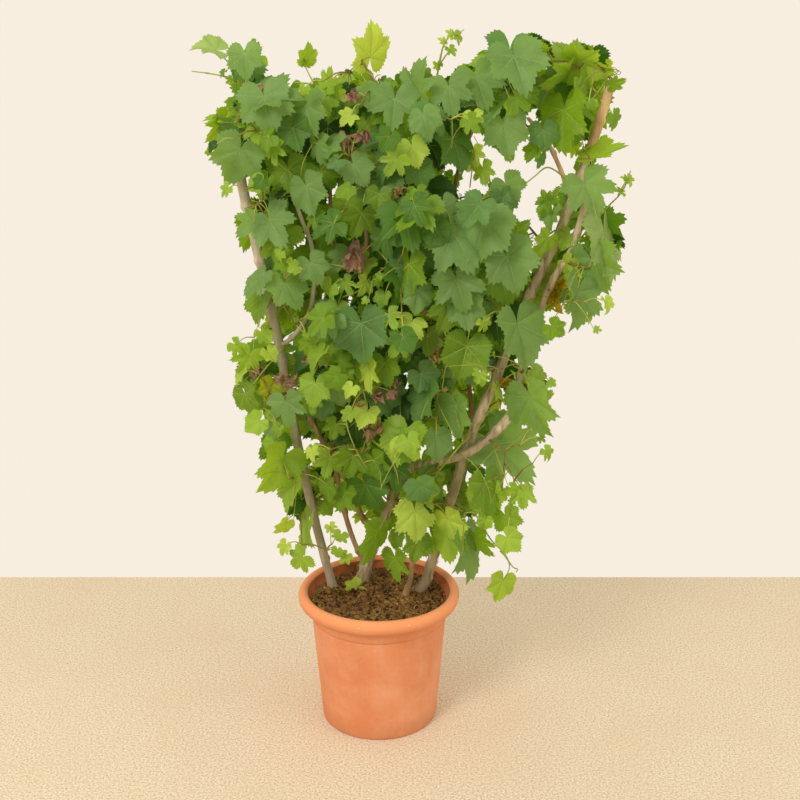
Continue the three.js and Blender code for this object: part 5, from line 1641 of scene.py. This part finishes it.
def tendril(rng, start, way, length):
    """A thin tendril that curls up at its end."""
    side = unit(np.cross(way, rng.normal(size=3)))
    up = np.cross(way, side)
    points, place, turn = [start], np.array(start, float), 0.0
    for k in range(TENDRIL_STEPS):
        share = k / TENDRIL_STEPS
        turn += TENDRIL_TURN + share**2
        heading = way * math.cos(turn) + side * math.sin(turn) + up * TENDRIL_RISE * share
        place = place + unit(heading) * length / TENDRIL_STEPS
        points.append(place)
    return np.array(points)


def make_twigs(crown):
    """Stems, twigs, leaf stalks, green shoots and tendrils."""
    rng = np.random.RandomState(SEEDS["twigs"])
    stems, stalks, shoots = Heap(), Heap(), Heap()
    tubes = [(stems, [mass["stem"] for mass in crown.masses], STEM_RADII, STEM_TUBE),
             (stems, crown.twigs, TWIG_RADII, TWIG_TUBE),
             (stalks, crown.petioles, STALK_RADII, STALK_TUBE)]
    for heap, lines, radii, (points, sides) in tubes:
        for line in lines:
            heap.add(*tapered_tube(curve(line, points), *radii, sides))
    for name, line in shoot_paths().items():
        thick = THIN_RADIUS if "tendril" in name or "stalk" in name else GREEN_RADIUS
        path, _ = spaced(curve(line, GREEN_POINTS), GREEN_STEP)
        radii = np.linspace(thick, thick * GREEN_TAPER, len(path))
        knots = np.abs(np.sin(np.arange(len(path)) * KNOT_PITCH)) ** KNOT_SHARP
        shoots.add(*tube(path, radii * (1 + KNOT_SWELL * knots), SHOOT_SIDES))
    for path in crown.young:
        path, _ = spaced(curve(path, YOUNG_POINTS), GREEN_STEP)
        shoots.add(*tapered_tube(path, *YOUNG_RADII, YOUNG_SIDES))
    for mass in crown.masses:
        for _ in range(TENDRILS):
            k = rng.randint(1, STEM_SPANS)
            start = mass["stem"][k]
            out = np.array([rng.normal(), math.copysign(TENDRIL_OUT, start[1]), rng.uniform(*TENDRIL_UP)])
            path = tendril(rng, start, unit(out), rng.uniform(*TENDRIL_LENGTHS))
            if not too_deep(path):
                shoots.add(*tapered_tube(path, *TENDRIL_RADII, TENDRIL_SIDES))
    return stems, stalks, shoots


VEIN_TONES = {"pale": (158, 182, 108), "green": (184, 206, 96)}
WOOD_LOOKS = {  # dark, middle and light tone, and how fine the grain is along and across
    "twig": ((104, 92, 44), (134, 124, 62), (160, 146, 82), 12, 120),
    "stalk": ((146, 150, 60), (172, 180, 84), (186, 178, 92), 30, 60),
    "shoot": ((134, 140, 58), (158, 168, 72), (170, 176, 92), 30, 60),
}


def make_foliage():
    crown = Crown()
    crown.place_front()
    for index, mass in enumerate(crown.masses):
        crown.grow_mass(index, mass)
    for index, mass in enumerate(crown.masses):
        grow_young(crown, mass, random_source(SEED * 2 + index))
    heaps, veins = make_leaves(crown)
    make_crumpled(heaps, crown)
    names = [mass["name"] for mass in crown.masses]
    for tint, heap in heaps.items():
        front, through = (paint(*colour) for colour in TINTS[tint])
        dead = tint == "dead"
        look = leaf_look(f"leaf_{tint}", front, through, DEAD_THROUGH if dead else THROUGH,
                         DEAD_ROUGH if dead else LEAF_ROUGH)
        made = heap.piece(f"leaves_{tint}", look, "leaf")
        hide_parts(*names)
    for name, heap in veins.items():
        look, tone = Look(f"veins_{name}", 0.6), paint(*VEIN_TONES[name])
        look.colour(look.ramp(look.noise(30, 2), [(0.3, shaded(tone, 0.85)), (0.7, tone)]))
        heap.piece(f"leaf_veins_{name}", look.made, "leaf")
    pieces = ("twigs", "leaf_stalks", "shoots")
    for name, heap, (kind, values) in zip(pieces, make_twigs(crown), WOOD_LOOKS.items()):
        heap.piece(name, bark_look(kind, *values), "leaf")


# The scene round the plant, in metres.
FLOOR_END = 0.70  # behind the plant
FLOOR_REACH = 6
LIGHTS = {  # place, target, width, power and colour
    "key": ((-1.6, -2.6, 3.2), (0, 0, 0.8), 1.3, 70, (1.0, 0.97, 0.92)),
    "fill": ((2.6, -1.2, 1.8), (0, 0, 0.8), 2.0, 12, (1.0, 0.98, 0.95)),
}


def make_camera():
    data = bpy.data.cameras.new("camera")
    data.lens, data.sensor_width = LENS, SENSOR
    camera = bpy.data.objects.new("camera", data)
    camera.location = CAMERA_PLACE
    camera.rotation_euler = (math.radians(90 - CAMERA_DROP), 0, 0)
    bpy.context.scene.collection.objects.link(camera)
    bpy.context.scene.camera = camera


def make_light(name, place, target, size, power, colour):
    data = bpy.data.lights.new(name, "AREA")
    data.shape = "DISK"
    data.size, data.energy, data.color = size, power, colour
    light = bpy.data.objects.new(name, data)
    light.location = place
    light.rotation_euler = (Vector(target) - Vector(place)).to_track_quat("-Z", "Y").to_euler()
    bpy.context.scene.collection.objects.link(light)


def make_floor():
    mesh = bpy.data.meshes.new("floor")
    far = FLOOR_REACH
    corners = [(-far, -far, 0), (far, -far, 0), (far, FLOOR_END, 0), (-far, FLOOR_END, 0)]
    mesh.from_pydata(corners, [], [(0, 1, 2, 3)])
    floor = bpy.data.objects.new("floor", mesh)
    bpy.context.scene.collection.objects.link(floor)
    look = Look("floor", 0.95, 0.1)
    grain = look.noise(210, 3, 0.8)
    patches = look.noise(5, 4)
    colour = look.ramp(grain, [(0.3, paint(172, 150, 116)), (0.5, paint(226, 210, 182)),
                               (0.7, paint(250, 240, 222))])
    dusty = look.times(look.mask(patches, 0.45, 0.7), 0.3)
    look.colour(look.over(dusty, colour, paint(220, 198, 164)))
    look.bump(grain, 0.5, 0.005)
    mesh.materials.append(look.made)


def make_world():
    scene = bpy.context.scene
    world = bpy.data.worlds.new("world")
    world.use_nodes = True
    back = world.node_tree.nodes["Background"]
    back.inputs["Color"].default_value = paint(247, 238, 224)
    back.inputs["Strength"].default_value = 1.0
    scene.world = world
    scene.view_settings.view_transform = "Standard"
    scene.view_settings.look = "None"


make_camera()
make_world()
make_floor()
for name, values in LIGHTS.items():
    make_light(name, *values)
make_pot()
make_chips()
make_soil()
make_limbs()
make_foliage()
